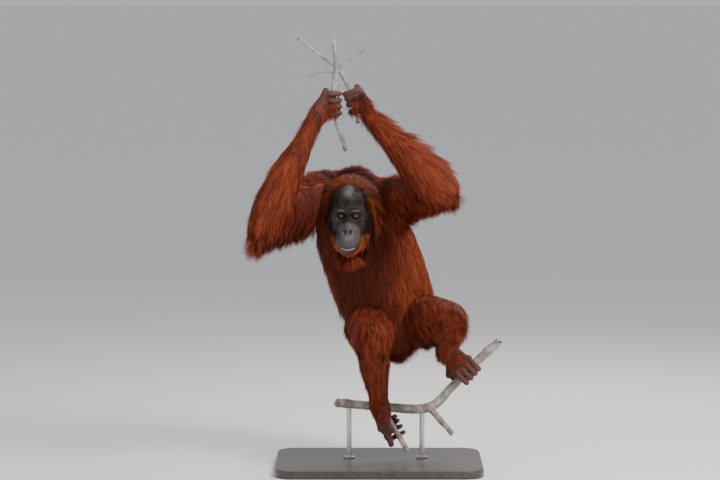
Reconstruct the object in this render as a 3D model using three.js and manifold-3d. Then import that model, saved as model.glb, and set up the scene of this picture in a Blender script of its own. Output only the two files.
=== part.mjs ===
// A life-size orangutan in a long red coat. Its raised hands hold an upright forked stem, its feet grip a
// forked branch, and two short rods on a flat base hold the branch up.
// Millimetres, +Z up. The animal faces -Y and its right side is towards -X.
// The origin is the centre of the base's underside.
import * as THREE from "three";
import { mergeVertices } from "three/addons/utils/BufferGeometryUtils.js";
import Module from "manifold-3d";

const wasm = await Module();
wasm.setup();

const v = (x, y, z) => new THREE.Vector3(x, y, z);
const down = v(0, 0, -1);
const acrossX = v(1, 0, 0);
const turn = Math.PI * 2;

// Fits between pieces
const gap = 0.35; // how far a piece stays from the one it is cut by
const planeGap = 0.2; // each side's distance from a joint's cutting plane
const coreDepth = 11; // the packed underfur, outside the skin

// The skeleton: where the joints are
const shoulderRight = v(-143, 30, 836);
const elbowRight = v(-331, -240, 785);
const wristRight = v(-196, -140, 1046);
const shoulderLeft = v(28, 50, 813);
const elbowLeft = v(174, -244, 866);
const wristLeft = v(-22, -148, 1058);
const hipRight = v(-26, 70, 447);
const kneeRight = v(-23, -175, 413);
const ankleRight = v(-2, -32, 224);
const hipLeft = v(100, 75, 452);
const kneeLeft = v(205, -165, 475);
const ankleLeft = v(200, 5, 355);
const eyeLine = v(-91, -165, 773); // midway between the eyes, at their front
const headPitch = THREE.MathUtils.degToRad(8); // nose down
const headYaw = THREE.MathUtils.degToRad(-4);

// The stand
const baseWide = 620;
const baseDeep = 460;
const baseCorner = 60;
const baseThick = 24;
const baseBevel = 4;
const rodRadius = 8;
const rodDepth = 22; // the rods' Y, under the branch
const rodPlaces = { stand_rod_right: -90, stand_rod_left: 130 };

// The branch under the feet and the stem in the hands
const branchRadius = 14;
const stemRadius = 7.5;
const stemDepth = -95;

// Gives the same series of numbers from 0 to 1 on every run.
function seeded(seed) {
  let state = seed;
  return () => {
    state = (state + 0x6d2b79f5) | 0;
    let mixed = Math.imul(state ^ (state >>> 15), 1 | state);
    mixed = (mixed + Math.imul(mixed ^ (mixed >>> 7), 61 | mixed)) ^ mixed;
    return ((mixed ^ (mixed >>> 14)) >>> 0) / 4294967296;
  };
}

// A closed three.js geometry as a solid.
function solidOf(geometry) {
  const plain = new THREE.BufferGeometry();
  plain.setAttribute("position", geometry.getAttribute("position"));
  if (geometry.index) plain.setIndex(geometry.index);
  const merged = mergeVertices(plain, 1e-3);
  return new wasm.Manifold(
    new wasm.Mesh({
      numProp: 3,
      vertProperties: new Float32Array(merged.getAttribute("position").array),
      triVerts: new Uint32Array(merged.index.array),
    }),
  );
}

// A solid as a three.js geometry with flat faces, its points on a grid of a thousandth of a millimetre.
function geometryOf(solid) {
  const mesh = solid.getMesh();
  const snapped = Float32Array.from(mesh.vertProperties, (x) => Math.round(x * 1000) / 1000);
  const geometry = new THREE.BufferGeometry();
  geometry.setAttribute("position", new THREE.BufferAttribute(snapped, 3));
  geometry.setIndex(new THREE.BufferAttribute(new Uint32Array(mesh.triVerts), 1));
  return geometry;
}

const join = (solids) => wasm.Manifold.union(solids);
const middleOf = (points) => points.reduce((sum, p) => sum.add(p), v(0, 0, 0)).divideScalar(points.length);

// What is in front of a plane, less a distance.
const inFront = (solid, point, normal, distance) =>
  solid.trimByPlane(normal.toArray(), normal.dot(point) + distance);

// The one closed surface that holds the most, once points that all but touch are one.
function largest(solid) {
  const bodies = solidOf(geometryOf(solid)).decompose();
  return bodies.reduce((best, body) => (body.volume() > best.volume() ? body : best));
}

const boxesMeet = (a, b) => {
  const one = a.boundingBox();
  const two = b.boundingBox();
  return [0, 1, 2].every((i) => one.min[i] < two.max[i] && two.min[i] < one.max[i]);
};

const cutClear = (solid, other) => (boxesMeet(solid, other) ? solid.subtract(other) : solid);

// Rings of points joined into a closed surface, with a point at each end.
function ringsGeometry(rings, first, last) {
  const count = rings[0].length;
  const points = [first, ...rings.flat(), last];
  const at = (ring, i) => 1 + ring * count + (i % count);
  const faces = [];
  for (let i = 0; i < count; i++) {
    faces.push(0, at(0, i + 1), at(0, i));
    faces.push(points.length - 1, at(rings.length - 1, i), at(rings.length - 1, i + 1));
    for (let ring = 0; ring + 1 < rings.length; ring++) {
      faces.push(at(ring, i), at(ring, i + 1), at(ring + 1, i));
      faces.push(at(ring, i + 1), at(ring + 1, i + 1), at(ring + 1, i));
    }
  }
  const geometry = new THREE.BufferGeometry().setFromPoints(points);
  geometry.setIndex(faces);
  return geometry;
}

// A limb or branch: ellipses along a smooth line through stations [point, wide radius, deep radius].
function limb(stations, { side = acrossX, sides = 14, rings = 10, dome = 0.5 } = {}) {
  const line = new THREE.CatmullRomCurve3(stations.map((s) => s[0]), false, "catmullrom");
  const radii = stations.map((s) => v(s[1], s[2] ?? s[1], 0));
  const girth = new THREE.CatmullRomCurve3(radii, false, "catmullrom");
  const frame = (t) => {
    const along = line.getTangent(t);
    const wideAxis = side.clone().addScaledVector(along, -side.dot(along)).normalize();
    const size = girth.getPoint(t);
    const deepAxis = along.clone().cross(wideAxis);
    return { at: line.getPoint(t), along, wideAxis, deepAxis, wide: size.x, deep: size.y };
  };
  const surface = (t, angle, depth = 0) => {
    const f = frame(t);
    return f.at
      .clone()
      .addScaledVector(f.wideAxis, (f.wide + depth) * Math.cos(angle))
      .addScaledVector(f.deepAxis, (f.deep + depth) * Math.sin(angle));
  };
  const outward = (t, angle) => {
    const f = frame(t);
    return v(0, 0, 0)
      .addScaledVector(f.wideAxis, Math.cos(angle) / f.wide)
      .addScaledVector(f.deepAxis, Math.sin(angle) / f.deep)
      .normalize();
  };
  const end = (t, sign, depth) => {
    const f = frame(t);
    return f.at.clone().addScaledVector(f.along, sign * (dome * Math.min(f.wide, f.deep) + depth));
  };
  const solid = (depth = 0) => {
    const made = [];
    for (let ring = 0; ring < rings; ring++) {
      const points = [];
      for (let i = 0; i < sides; i++) points.push(surface(ring / (rings - 1), (turn * i) / sides, depth));
      made.push(points);
    }
    return solidOf(ringsGeometry(made, end(0, -1, depth), end(1, 1, depth)));
  };
  return { frame, surface, outward, solid };
}

// The plane that halves a bent joint; its normal points to the far side.
const halving = (near, joint, far) => {
  const arriving = joint.clone().sub(near).normalize();
  const leaving = far.clone().sub(joint).normalize();
  return { point: joint, normal: arriving.add(leaving).normalize() };
};
const squareTo = (point, direction) => ({ point, normal: direction.clone().normalize() });
const beyond = (solid, plane, grow) => inFront(solid, plane.point, plane.normal, planeGap - grow);
const before = (solid, plane, grow) =>
  inFront(solid, plane.point, plane.normal.clone().negate(), planeGap - grow);

// Nodes: each has a core, some have a coat, and each is cut clear of the ones before it
const nodes = [];
const node = (name, finish, core, { coat = () => [], pivot = v(0, 0, 0) } = {}) =>
  nodes.push({ name, finish, core, coat, pivot: pivot.clone().round() });

// The stand
node("stand_base", "base", () => {
  const x = baseWide / 2 - baseBevel;
  const y = baseDeep / 2 - baseBevel;
  const r = baseCorner - baseBevel;
  const outline = new THREE.Shape();
  outline.absarc(x - r, y - r, r, 0, turn / 4);
  outline.absarc(r - x, y - r, r, turn / 4, turn / 2);
  outline.absarc(r - x, r - y, r, turn / 2, (turn * 3) / 4);
  outline.absarc(x - r, r - y, r, (turn * 3) / 4, turn);
  const plate = new THREE.ExtrudeGeometry(outline, {
    depth: baseThick - 2 * baseBevel,
    bevelThickness: baseBevel,
    bevelSize: baseBevel,
    bevelSegments: 1,
    curveSegments: 4,
  });
  plate.translate(0, 0, baseBevel);
  return solidOf(plate);
});

// The forked branch: the main line, the limb under the right toes and a stub past the fork
const branchMain = limb(
  [
    [v(-125, 22, 192), 12.5],
    [v(-110, 22, 191), 13.5],
    [v(19, 22, 180), branchRadius],
    [v(148, 22, 178), branchRadius + 1],
    [v(220, 26, 240), branchRadius],
    [v(289, 32, 311), branchRadius - 1],
    [v(352, 36, 368), branchRadius - 2],
    [v(361, 36, 375), branchRadius - 2.5],
  ],
  { side: v(0, 1, 0), sides: 9, rings: 12, dome: 0.15 },
);
const branchLower = limb(
  [
    [v(11, 22, 180), 9.5],
    [v(37, 6, 134), 9],
    [v(85, 0, 52), 8.5],
  ],
  { side: v(0, 1, 0), sides: 8, rings: 5, dome: 0.15 },
);
const branchStub = limb(
  [
    [v(150, 22, 182), 10],
    [v(185, 20, 140), 9.5],
    [v(223, 18, 98), 8.5],
  ],
  { side: v(0, 1, 0), sides: 8, rings: 4, dome: 0.15 },
);
const branchSolid = (grow) => join([branchMain, branchLower, branchStub].map((piece) => piece.solid(grow)));
node("perch_branch", "bark", branchSolid);

for (const [name, x] of Object.entries(rodPlaces))
  node(name, "rod", () => {
    const tall = branchMain.frame(0.4).at.z - baseThick - gap;
    const rod = new THREE.CylinderGeometry(rodRadius, rodRadius, tall, 16);
    rod.rotateX(turn / 4);
    rod.translate(x, rodDepth, baseThick + gap + tall / 2);
    return largest(solidOf(rod).subtract(branchSolid(gap)));
  });

// The stem: the line in the right hand, its fork in the left hand, and short twigs above
const stemRight = limb(
  [
    [v(-99, stemDepth, 960), 6],
    [v(-129, stemDepth, 1057), stemRadius - 0.5],
    [v(-135, stemDepth, 1117), stemRadius],
    [v(-132, stemDepth, 1177), stemRadius],
    [v(-127, stemDepth, 1206), stemRadius + 0.5],
    [v(-135, stemDepth, 1291), 5],
  ],
  { sides: 7, rings: 7, dome: 0.15 },
);
const stemLeft = limb(
  [
    [v(-63, stemDepth, 1042), 5],
    [v(-78, stemDepth, 1111), 6.5],
    [v(-93, stemDepth, 1153), 6.5],
    [v(-111, stemDepth, 1188), 6.5],
    [v(-126, stemDepth, 1206), 6.5],
  ],
  { sides: 7, rings: 5, dome: 0.15 },
);
const twigs = [
  limb([
    [v(-128, stemDepth, 1210), 6],
    [v(-180, stemDepth, 1247), 5],
    [v(-233, stemDepth, 1288), 4.5],
    [v(-239, stemDepth, 1293), 6],
  ], {
    side: v(0, 1, 0),
    sides: 6,
    rings: 6,
    dome: 0.3,
  }),
  limb([[v(-131, stemDepth, 1192), 3], [v(-168, stemDepth - 4, 1194), 2.5], [v(-213, stemDepth - 8, 1183), 1.8]], {
    side: v(0, 1, 0),
    sides: 5,
    rings: 4,
  }),
  limb([[v(-124, stemDepth, 1206), 5], [v(-81, stemDepth + 6, 1232), 4], [v(-42, stemDepth + 12, 1262), 2.5]], {
    side: v(0, 1, 0),
    sides: 6,
    rings: 4,
  }),
];
node("perch_stem", "bark", (grow) => join([stemRight, stemLeft, ...twigs].map((piece) => piece.solid(grow))));

// The head, in its own frame: +X to the animal's left, -Y out of the face, the origin between the eyes
const headPose = new THREE.Matrix4().compose(
  eyeLine,
  new THREE.Quaternion().setFromEuler(new THREE.Euler(headPitch, 0, headYaw, "ZYX")),
  v(1, 1, 1),
);
const inHead = (x, y, z) => v(x, y, z).applyMatrix4(headPose);
const posed = (geometry) => solidOf(geometry.applyMatrix4(headPose));

const eyeApart = 21; // each eye's distance from the middle
const eyeRadius = 12;
const eyeCentre = 10; // how far the eye's centre lies behind its front
const lidRadius = 13.8;

const blend = (a, b, width) => {
  const h = Math.max(width - Math.abs(a - b), 0) / width;
  return Math.min(a, b) - h * h * width * 0.25;
};
const carve = (a, b, width) => -blend(-a, b, width);
const egg = (p, x, y, z, rx, ry, rz) => {
  const q = [(p.x - x) / rx, (p.y - y) / ry, (p.z - z) / rz];
  const near = Math.hypot(...q);
  const slope = Math.hypot(q[0] / rx, q[1] / ry, q[2] / rz);
  return slope < 1e-9 ? -Math.min(rx, ry, rz) : (near * (near - 1)) / slope;
};
const bar = (p, a, b, radius) => {
  const span = b.clone().sub(a);
  const along = THREE.MathUtils.clamp(p.clone().sub(a).dot(span) / span.lengthSq(), 0, 1);
  return p.distanceTo(a.clone().addScaledVector(span, along)) - radius;
};

// How far a point lies outside the skin of the head.
function headSkin(point) {
  const p = v(Math.abs(point.x), point.y, point.z);
  let d = egg(p, 0, 70, 30, 66, 78, 66); // cranium
  d = blend(d, egg(p, 0, 48, -25, 61, 60, 60), 30); // face and jaw hinge
  d = blend(d, egg(p, 42, 22, -14, 22, 24, 24), 18); // cheekbone
  d = blend(d, bar(p, v(6, 3, 17), v(36, 10, 15), 8), 16); // brow ridge
  d = blend(d, egg(p, 0, 30, -75, 46, 48, 36), 26); // back of the jaw
  d = blend(d, egg(p, 0, -8, -70, 37, 50, 36), 20); // muzzle
  d = blend(d, bar(p, v(0, 6, -4), v(0, -20, -42), 10), 14); // nose bridge
  d = blend(d, bar(p, v(0, -30, -46), v(8, -30, -49), 6), 10); // nose wings
  d = blend(d, egg(p, 0, -10, -97, 29, 36, 17), 12); // chin
  d = carve(d, egg(p, eyeApart, -7, -1, 15, 14, 11), 14); // eye socket
  return d;
}

// How thick the hair of the head lies there: none on the face.
function headHair(p) {
  const behindFace = THREE.MathUtils.smoothstep(p.y, 16, 60);
  const overForehead = THREE.MathUtils.smoothstep(p.z, 66, 92);
  return 10 * Math.max(behindFace, overForehead);
}

// Where a ray from inside the head leaves its skin.
function skinAlong(from, direction) {
  const at = (r) => from.clone().addScaledVector(direction, r);
  let outer = 180;
  while (headSkin(at(outer)) > 0) outer -= 4;
  let inner = outer;
  outer += 4;
  for (let i = 0; i < 12; i++) {
    const middle = (inner + outer) / 2;
    if (headSkin(at(middle)) > 0) outer = middle;
    else inner = middle;
  }
  return at(inner);
}

const headCore = v(0, 35, -18); // every point of the head can be seen from here
const headRows = 21;
const headColumns = 32;
function headGeometry(grow) {
  const skinPoint = (rise, around) => {
    const direction = v(Math.sin(around) * Math.cos(rise), -Math.cos(around) * Math.cos(rise), Math.sin(rise));
    const found = skinAlong(headCore, direction);
    return found.addScaledVector(direction, headHair(found) + grow);
  };
  const rings = [];
  for (let row = 1; row < headRows; row++) {
    const even = Math.PI * (row / headRows - 0.5);
    const rise = even - 0.16 * Math.sin(2 * even) - 0.05;
    const points = [];
    for (let i = 0; i < headColumns; i++) {
      const around = (turn * i) / headColumns;
      points.push(skinPoint(rise, around - 0.5 * Math.sin(around)));
    }
    rings.push(points);
  }
  return ringsGeometry(rings, skinPoint(-Math.PI / 2, 0), skinPoint(Math.PI / 2, 0));
}

// A band that follows the muzzle's front at one height, its ends rising: a lip, or the line of the mouth.
function mouthBand({ height, reach, tall, deep, sunk }) {
  const stations = [];
  for (let i = 0; i <= 6; i++) {
    const share = i / 3 - 1;
    const angle = THREE.MathUtils.degToRad(reach * share);
    const from = v(0, -4, height + 10 * share * share);
    const outward = v(Math.sin(angle), -Math.cos(angle), 0);
    const taper = 1 - 0.4 * Math.abs(share);
    stations.push([skinAlong(from, outward).addScaledVector(outward, -sunk), tall * taper, deep * taper]);
  }
  return limb(stations, { side: v(0, 0, 1), sides: 6, rings: 7 });
}
const mouthHeight = -86;
const upperLip = mouthBand({ height: mouthHeight + 4, reach: 52, tall: 4, deep: 4.5, sunk: 2.4 });
const lowerLip = mouthBand({ height: mouthHeight - 4.5, reach: 46, tall: 4.2, deep: 4.8, sunk: 1.8 });
const mouthLine = mouthBand({ height: mouthHeight, reach: 60, tall: 1.1, deep: 6.5, sunk: 0 });

const lidOpening = (side) => {
  const almond = new THREE.Shape();
  almond.moveTo(-10.5, -0.5);
  almond.quadraticCurveTo(0, 9, 10.5, 0);
  almond.quadraticCurveTo(0, -8, -10.5, -0.5);
  const cut = new THREE.ExtrudeGeometry(almond, { depth: 30, bevelEnabled: false, curveSegments: 5 });
  cut.rotateX(turn / 4);
  cut.translate(side * eyeApart, 8, 0);
  return cut;
};
const eyeball = (side, radius, wide = 11) => {
  const ball = new THREE.SphereGeometry(radius, wide, Math.round(wide * 0.7));
  ball.translate(side * eyeApart, eyeCentre, 0);
  return ball;
};
const nostril = (side) => {
  const hole = new THREE.SphereGeometry(1, 8, 6);
  hole.scale(3.2, 9, 4.6);
  hole.rotateY(THREE.MathUtils.degToRad(-38 * side));
  hole.rotateX(THREE.MathUtils.degToRad(-30));
  hole.translate(side * 8, -37, -46);
  return hole;
};

// The neck parts from the head on a flat cut behind the jaw.
const neckCut = squareTo(inHead(0, 92, -34), inHead(0, 1, -0.55).sub(inHead(0, 0, 0)));

function headSolid(grow) {
  const lips = [upperLip, lowerLip].map((band) => band.solid(grow).transform(headPose.toArray()));
  const lids = [-1, 1].map((side) =>
    posed(eyeball(side, lidRadius + grow, 14)).subtract(posed(lidOpening(side))),
  );
  let head = join([posed(headGeometry(grow)), ...lips, ...lids]);
  head = before(head, neckCut, grow);
  if (grow) return head;
  head = head.subtract(mouthLine.solid().transform(headPose.toArray()));
  for (const side of [-1, 1]) {
    head = head.subtract(posed(eyeball(side, eyeRadius + gap)));
    head = head.subtract(posed(nostril(side)));
  }
  return head;
}

for (const [name, side] of [["eye_right", -1], ["eye_left", 1]]) {
  const pivot = inHead(side * eyeApart, eyeCentre, 0);
  node(name, "eye", (grow) => posed(eyeball(side, eyeRadius + grow)), { pivot });
}

// Ears: a cup with a rim, set behind the jaw hinge
const earTall = 21;
const earDeep = 13;
const earOut = 14;
function earSolid(side, grow) {
  const place = (geometry, forward) => {
    geometry.rotateX(THREE.MathUtils.degToRad(-12));
    geometry.translate(side * (64 + forward), 66, 4);
    return posed(geometry);
  };
  const shell = new THREE.SphereGeometry(1, 10, 7).scale(earOut + grow, earDeep + grow, earTall + grow);
  const hollow = new THREE.SphereGeometry(1, 8, 5).scale(8, earDeep - 4, earTall - 5);
  const cup = place(shell, 5);
  return grow ? cup : cup.subtract(place(hollow, 15));
}

// A flat tapered lock of hair with a ridge, sunk at its root and bending from its lie towards the ground
const lockSunk = 9;
const lockWidth = (share) => 0.78 + 1.1 * share - 1.5 * share * share;
function lock({ root, out, lie, length, wide, thick, droop, lift, bends }, grow) {
  const at = root.clone().addScaledVector(out, -lockSunk);
  const flat = out.clone().cross(lie).normalize();
  const rings = [];
  for (let step = 0; step <= bends; step++) {
    const share = step / bends;
    const bend = droop * Math.sqrt(share);
    const heading = lie
      .clone()
      .multiplyScalar(1 - bend)
      .addScaledVector(out, lift * (1 - share) ** 2)
      .addScaledVector(down, bend)
      .normalize();
    if (step === bends) {
      const tip = at.addScaledVector(heading, 12 * grow);
      return solidOf(ringsGeometry(rings, middleOf(rings[0]), tip));
    }
    const across = flat.clone().addScaledVector(heading, -flat.dot(heading)).normalize();
    const up = heading.clone().cross(across);
    const halfWide = (wide / 2) * lockWidth(share) + 3 * grow;
    const ridge = (thick / 2) * (1 - 0.35 * share);
    rings.push([
      at.clone().addScaledVector(across, halfWide).addScaledVector(up, -0.5 * ridge - grow),
      at.clone().addScaledVector(up, ridge + grow),
      at.clone().addScaledVector(across, -halfWide).addScaledVector(up, -0.5 * ridge - grow),
    ]);
    at.addScaledVector(heading, length / bends);
  }
}

// Locks in staggered rows: plan says how many rows and how many round each, and how they lie and hang
function coatOf(shape, plan) {
  const random = seeded(plan.seed);
  const made = [];
  for (let row = 0; row < plan.rows; row++) {
    for (let i = 0; i < plan.around; i++) {
      const along = (row + 0.5 + 0.4 * (random() - 0.5)) / plan.rows;
      const t = plan.from + (plan.to - plan.from) * along;
      const round = (i + 0.5 * (row % 2) + 0.3 * (random() - 0.5)) / plan.around;
      const angle = (plan.start ?? 0) + (plan.sweep ?? turn) * round;
      const out = shape.outward(t, angle);
      const lie = plan.lie
        ? plan.lie(t, angle, out)
        : shape.frame(t).along.clone().multiplyScalar(plan.towards);
      lie.addScaledVector(out, -lie.dot(out)).normalize();
      const hang = Math.max(0, -out.z);
      const size = 0.85 + 0.3 * random();
      made.push({
        root: shape.surface(t, angle, plan.depth ?? coreDepth),
        out,
        lie,
        length: plan.length(t, hang) * size,
        wide: plan.wide * (0.85 + 0.3 * random()),
        thick: plan.thick ?? 11,
        droop: plan.droop(t, hang),
        lift: plan.lift ?? 0.4,
        bends: plan.bends ?? 2,
      });
    }
  }
  return (grow) => made.map((one) => lock(one, grow));
}

// The trunk, from the neck's root to the seat
const chestLine = limb(
  [
    [v(-76, 22, 868), 52, 50],
    [v(-68, 32, 832), 96, 72],
    [v(-58, 42, 790), 114, 86],
    [v(-48, 48, 745), 119, 92],
    [v(-34, 52, 690), 121, 97],
    [v(-9, 60, 610), 120, 100],
    [v(15, 70, 540), 116, 98],
    [v(38, 78, 475), 102, 92],
    [v(48, 84, 425), 84, 80],
    [v(52, 86, 402), 58, 56],
  ],
  { sides: 18, rings: 12, dome: 0.4 },
);
const waist = squareTo(v(-2, 60, 610), v(-0.27, -0.1, 1));

const armLine = (shoulder, elbow) => {
  const at = (share) => shoulder.clone().lerp(elbow, share);
  return limb(
    [
      [at(-0.06), 48],
      [at(0.12), 54],
      [at(0.4), 48],
      [at(0.7), 43],
      [at(0.93), 40],
      [at(1.08), 30],
    ],
    { side: v(0, 0, 1), sides: 12, rings: 7 },
  );
};
const forearmLine = (elbow, wrist) => {
  const at = (share) => elbow.clone().lerp(wrist, share);
  return limb(
    [
      [at(-0.1), 28],
      [at(0.03), 40],
      [at(0.22), 44],
      [at(0.5), 38],
      [at(0.8), 29, 26],
      [at(1.0), 26, 21],
      [at(1.08), 25, 20],
    ],
    { side: v(0, 1, 0), sides: 12, rings: 8 },
  );
};
const thighLine = (hip, knee) => {
  const at = (share) => hip.clone().lerp(knee, share);
  return limb(
    [
      [at(-0.12), 52],
      [at(0.15), 64],
      [at(0.45), 60],
      [at(0.75), 52],
      [at(0.98), 44],
      [at(1.12), 30],
    ],
    { side: acrossX, sides: 12, rings: 7 },
  );
};
const shinLine = (knee, ankle) => {
  const at = (share) => knee.clone().lerp(ankle, share);
  return limb(
    [
      [at(-0.14), 28],
      [at(0.02), 42],
      [at(0.3), 42],
      [at(0.62), 34],
      [at(0.9), 27],
      [at(1.1), 26],
    ],
    { side: acrossX, sides: 12, rings: 8 },
  );
};

const arms = {
  right: {
    shoulder: shoulderRight,
    elbow: elbowRight,
    wrist: wristRight,
    upper: armLine(shoulderRight, elbowRight),
    fore: forearmLine(elbowRight, wristRight),
  },
  left: {
    shoulder: shoulderLeft,
    elbow: elbowLeft,
    wrist: wristLeft,
    upper: armLine(shoulderLeft, elbowLeft),
    fore: forearmLine(elbowLeft, wristLeft),
  },
};
const legs = {
  right: {
    hip: hipRight,
    knee: kneeRight,
    ankle: ankleRight,
    thigh: thighLine(hipRight, kneeRight),
    shin: shinLine(kneeRight, ankleRight),
  },
  left: {
    hip: hipLeft,
    knee: kneeLeft,
    ankle: ankleLeft,
    thigh: thighLine(hipLeft, kneeLeft),
    shin: shinLine(kneeLeft, ankleLeft),
  },
};
const rootOf = (from, to, share) => squareTo(from.clone().lerp(to, share), to.clone().sub(from));
for (const arm of Object.values(arms)) {
  arm.shoulderCut = rootOf(arm.shoulder, arm.elbow, 0.2);
  arm.elbowCut = halving(arm.shoulder, arm.elbow, arm.wrist);
  arm.wristCut = rootOf(arm.elbow, arm.wrist, 1);
}
for (const leg of Object.values(legs)) {
  leg.hipCut = rootOf(leg.hip, leg.knee, 0.36);
  leg.kneeCut = halving(leg.hip, leg.knee, leg.ankle);
  leg.ankleCut = rootOf(leg.knee, leg.ankle, 0.97);
}

// The hair of the head as a shape for coatOf: t runs from the crown's middle down to the throat, the angle round it
const hairLine = {
  direction(t, angle) {
    const rise = Math.PI / 2 - Math.PI * t;
    return v(Math.sin(angle) * Math.cos(rise), -Math.cos(angle) * Math.cos(rise), Math.sin(rise));
  },
  surface(t, angle) {
    const direction = this.direction(t, angle);
    const found = skinAlong(headCore, direction);
    return found.addScaledVector(direction, headHair(found)).applyMatrix4(headPose);
  },
  outward(t, angle) {
    return this.direction(t, angle).transformDirection(headPose);
  },
};
const sideHair = (side, plan) =>
  coatOf(hairLine, {
    lie: (t, angle, out) => v(0.35 * Math.sign(Math.sin(angle)), 0.25, -1),
    depth: 0,
    thick: 10,
    lift: 0.45,
    ...plan,
    start: side * plan.start,
    sweep: side * plan.sweep,
  });
const headCoats = [
  coatOf(hairLine, {
    seed: 41,
    from: 0.04,
    to: 0.16,
    rows: 1,
    around: 6,
    start: 0.3,
    lie: (t, angle) => v(Math.sin(angle), -Math.cos(angle) * 0.6 + 0.5, -0.3),
    length: () => 70,
    wide: 48,
    thick: 10,
    droop: () => 0.3,
    lift: 0.3,
  }),
  ...[-1, 1].flatMap((side) => [
    sideHair(side, {
      seed: 50 + side,
      from: 0.2,
      to: 0.5,
      rows: 2,
      around: 2,
      start: 1.25,
      sweep: 1.5,
      length: () => 85,
      wide: 44,
      droop: () => 0.35,
    }),
    sideHair(side, {
      seed: 60 + side,
      from: 0.52,
      to: 0.72,
      rows: 1,
      around: 3,
      start: 0.8,
      sweep: 1.5,
      length: () => 80,
      wide: 42,
      droop: () => 0.4,
    }),
  ]),
  coatOf(hairLine, {
    seed: 70,
    from: 0.82,
    to: 0.96,
    rows: 1,
    around: 5,
    start: -1.4,
    sweep: 2.8,
    lie: (t, angle, out) => v(0.3 * Math.sin(angle), -0.2, -1),
    length: () => 62,
    wide: 32,
    thick: 9,
    droop: () => 0.4,
    lift: 0.2,
  }),
];
const headCoat = (grow) => headCoats.flatMap((coat) => coat(grow));
node("head", "face_skin", headSolid, { coat: headCoat, pivot: eyeLine });
for (const [name, side] of [["ear_right", -1], ["ear_left", 1]])
  node(name, "face_skin", (grow) => earSolid(side, grow), { pivot: inHead(side * 64, 66, 4) });

const mix = (from, to, share) => from + (to - from) * share;
const chestCoat = coatOf(chestLine, {
  seed: 11,
  from: 0.08,
  to: 0.56,
  rows: 3,
  around: 6,
  towards: 1,
  length: (t) => mix(125, 140, t),
  wide: 94,
  droop: () => 0.3,
});
const seatCoat = coatOf(chestLine, {
  seed: 12,
  from: 0.56,
  to: 0.98,
  rows: 2,
  around: 7,
  towards: 1,
  length: (t) => mix(140, 105, (t - 0.56) / 0.42),
  wide: 86,
  droop: () => 0.35,
});
node(
  "torso_upper",
  "coat",
  (grow) => {
    const stubs = Object.values(arms).map((arm) => before(arm.upper.solid(coreDepth + grow), arm.shoulderCut, grow));
    return join([beyond(chestLine.solid(coreDepth + grow), waist, grow), ...stubs]);
  },
  { coat: chestCoat, pivot: v(-28, 52, 690) },
);
node(
  "torso_lower",
  "coat",
  (grow) => {
    const stubs = Object.values(legs).map((leg) => before(leg.thigh.solid(coreDepth + grow), leg.hipCut, grow));
    const chest = before(chestLine.solid(coreDepth + grow), waist, grow);
    return join([chest, ...stubs.map((stub) => before(stub, waist, grow))]);
  },
  { coat: seatCoat, pivot: v(38, 78, 475) },
);

const neckLine = limb(
  [
    [v(-70, 50, 800), 66, 62],
    [v(-78, 0, 800), 68, 62],
    [v(-84, -50, 792), 66, 62],
    [v(-88, -100, 785), 60, 58],
  ],
  { sides: 12, rings: 4 },
);
const neckSolid = (grow) => beyond(neckLine.solid(coreDepth - 6 + grow), neckCut, grow);
node("neck", "coat", neckSolid, { pivot: v(-80, -20, 800) });

const upperArmPlan = {
  from: 0.2,
  to: 0.95,
  rows: 2,
  around: 5,
  towards: 1,
  wide: 60,
};
const forearmPlan = {
  from: 0.12,
  to: 0.95,
  rows: 3,
  around: 4,
  bends: 3,
  towards: -1,
  wide: 60,
  thick: 10,
};
// The right elbow's hair hangs long; the left elbow's fans out, and hangs less
const armCoats = {
  right: {
    upper: {
      length: (t, hang) => mix(98, 78, t) + 32 * hang,
      droop: (t, hang) => mix(0.45, 0.72, t) + 0.2 * hang,
    },
    fore: {
      length: (t, hang) => mix(114, 88, t) + 25 * hang,
      droop: (t, hang) => mix(0.75, 0.3, t) + 0.2 * hang,
    },
  },
  left: {
    upper: {
      length: (t, hang) => mix(84, 64, t) + 12 * hang,
      droop: (t, hang) => mix(0.4, 0.55, t) + 0.1 * hang,
    },
    fore: {
      length: (t) => mix(88, 98, t),
      droop: (t, hang) => mix(0.5, 0.25, t) + 0.15 * hang,
    },
  },
};
const thighPlan = {
  from: 0.3,
  to: 0.95,
  rows: 2,
  around: 4,
  towards: 1,
  length: (t, hang) => 68 + 24 * hang,
  wide: 60,
  droop: () => 0.5,
};
const shinPlan = {
  from: 0.08,
  to: 0.92,
  rows: 2,
  around: 4,
  towards: 1,
  length: (t) => mix(78, 66, t),
  wide: 54,
  thick: 10,
  droop: () => 0.3,
  lift: 0.3,
};
let coatSeed = 20;
for (const [side, arm] of Object.entries(arms)) {
  const hair = armCoats[side];
  node(
    "upper_arm_" + side,
    "coat",
    (grow) => before(beyond(arm.upper.solid(coreDepth + grow), arm.shoulderCut, grow), arm.elbowCut, grow),
    { coat: coatOf(arm.upper, { ...upperArmPlan, ...hair.upper, seed: coatSeed++ }), pivot: arm.shoulder },
  );
  node(
    "forearm_" + side,
    "coat",
    (grow) => before(beyond(arm.fore.solid(coreDepth + grow), arm.elbowCut, grow), arm.wristCut, grow),
    { coat: coatOf(arm.fore, { ...forearmPlan, ...hair.fore, seed: coatSeed++ }), pivot: arm.elbow },
  );
}
for (const [side, leg] of Object.entries(legs)) {
  node(
    "thigh_" + side,
    "coat",
    (grow) => before(beyond(leg.thigh.solid(coreDepth + grow), leg.hipCut, grow), leg.kneeCut, grow),
    { coat: coatOf(leg.thigh, { ...thighPlan, seed: coatSeed++ }), pivot: leg.hip },
  );
  node(
    "shin_" + side,
    "coat",
    (grow) => before(beyond(leg.shin.solid(coreDepth + grow), leg.kneeCut, grow), leg.ankleCut, grow),
    { coat: coatOf(leg.shin, { ...shinPlan, seed: coatSeed++ }), pivot: leg.knee },
  );
}

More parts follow.
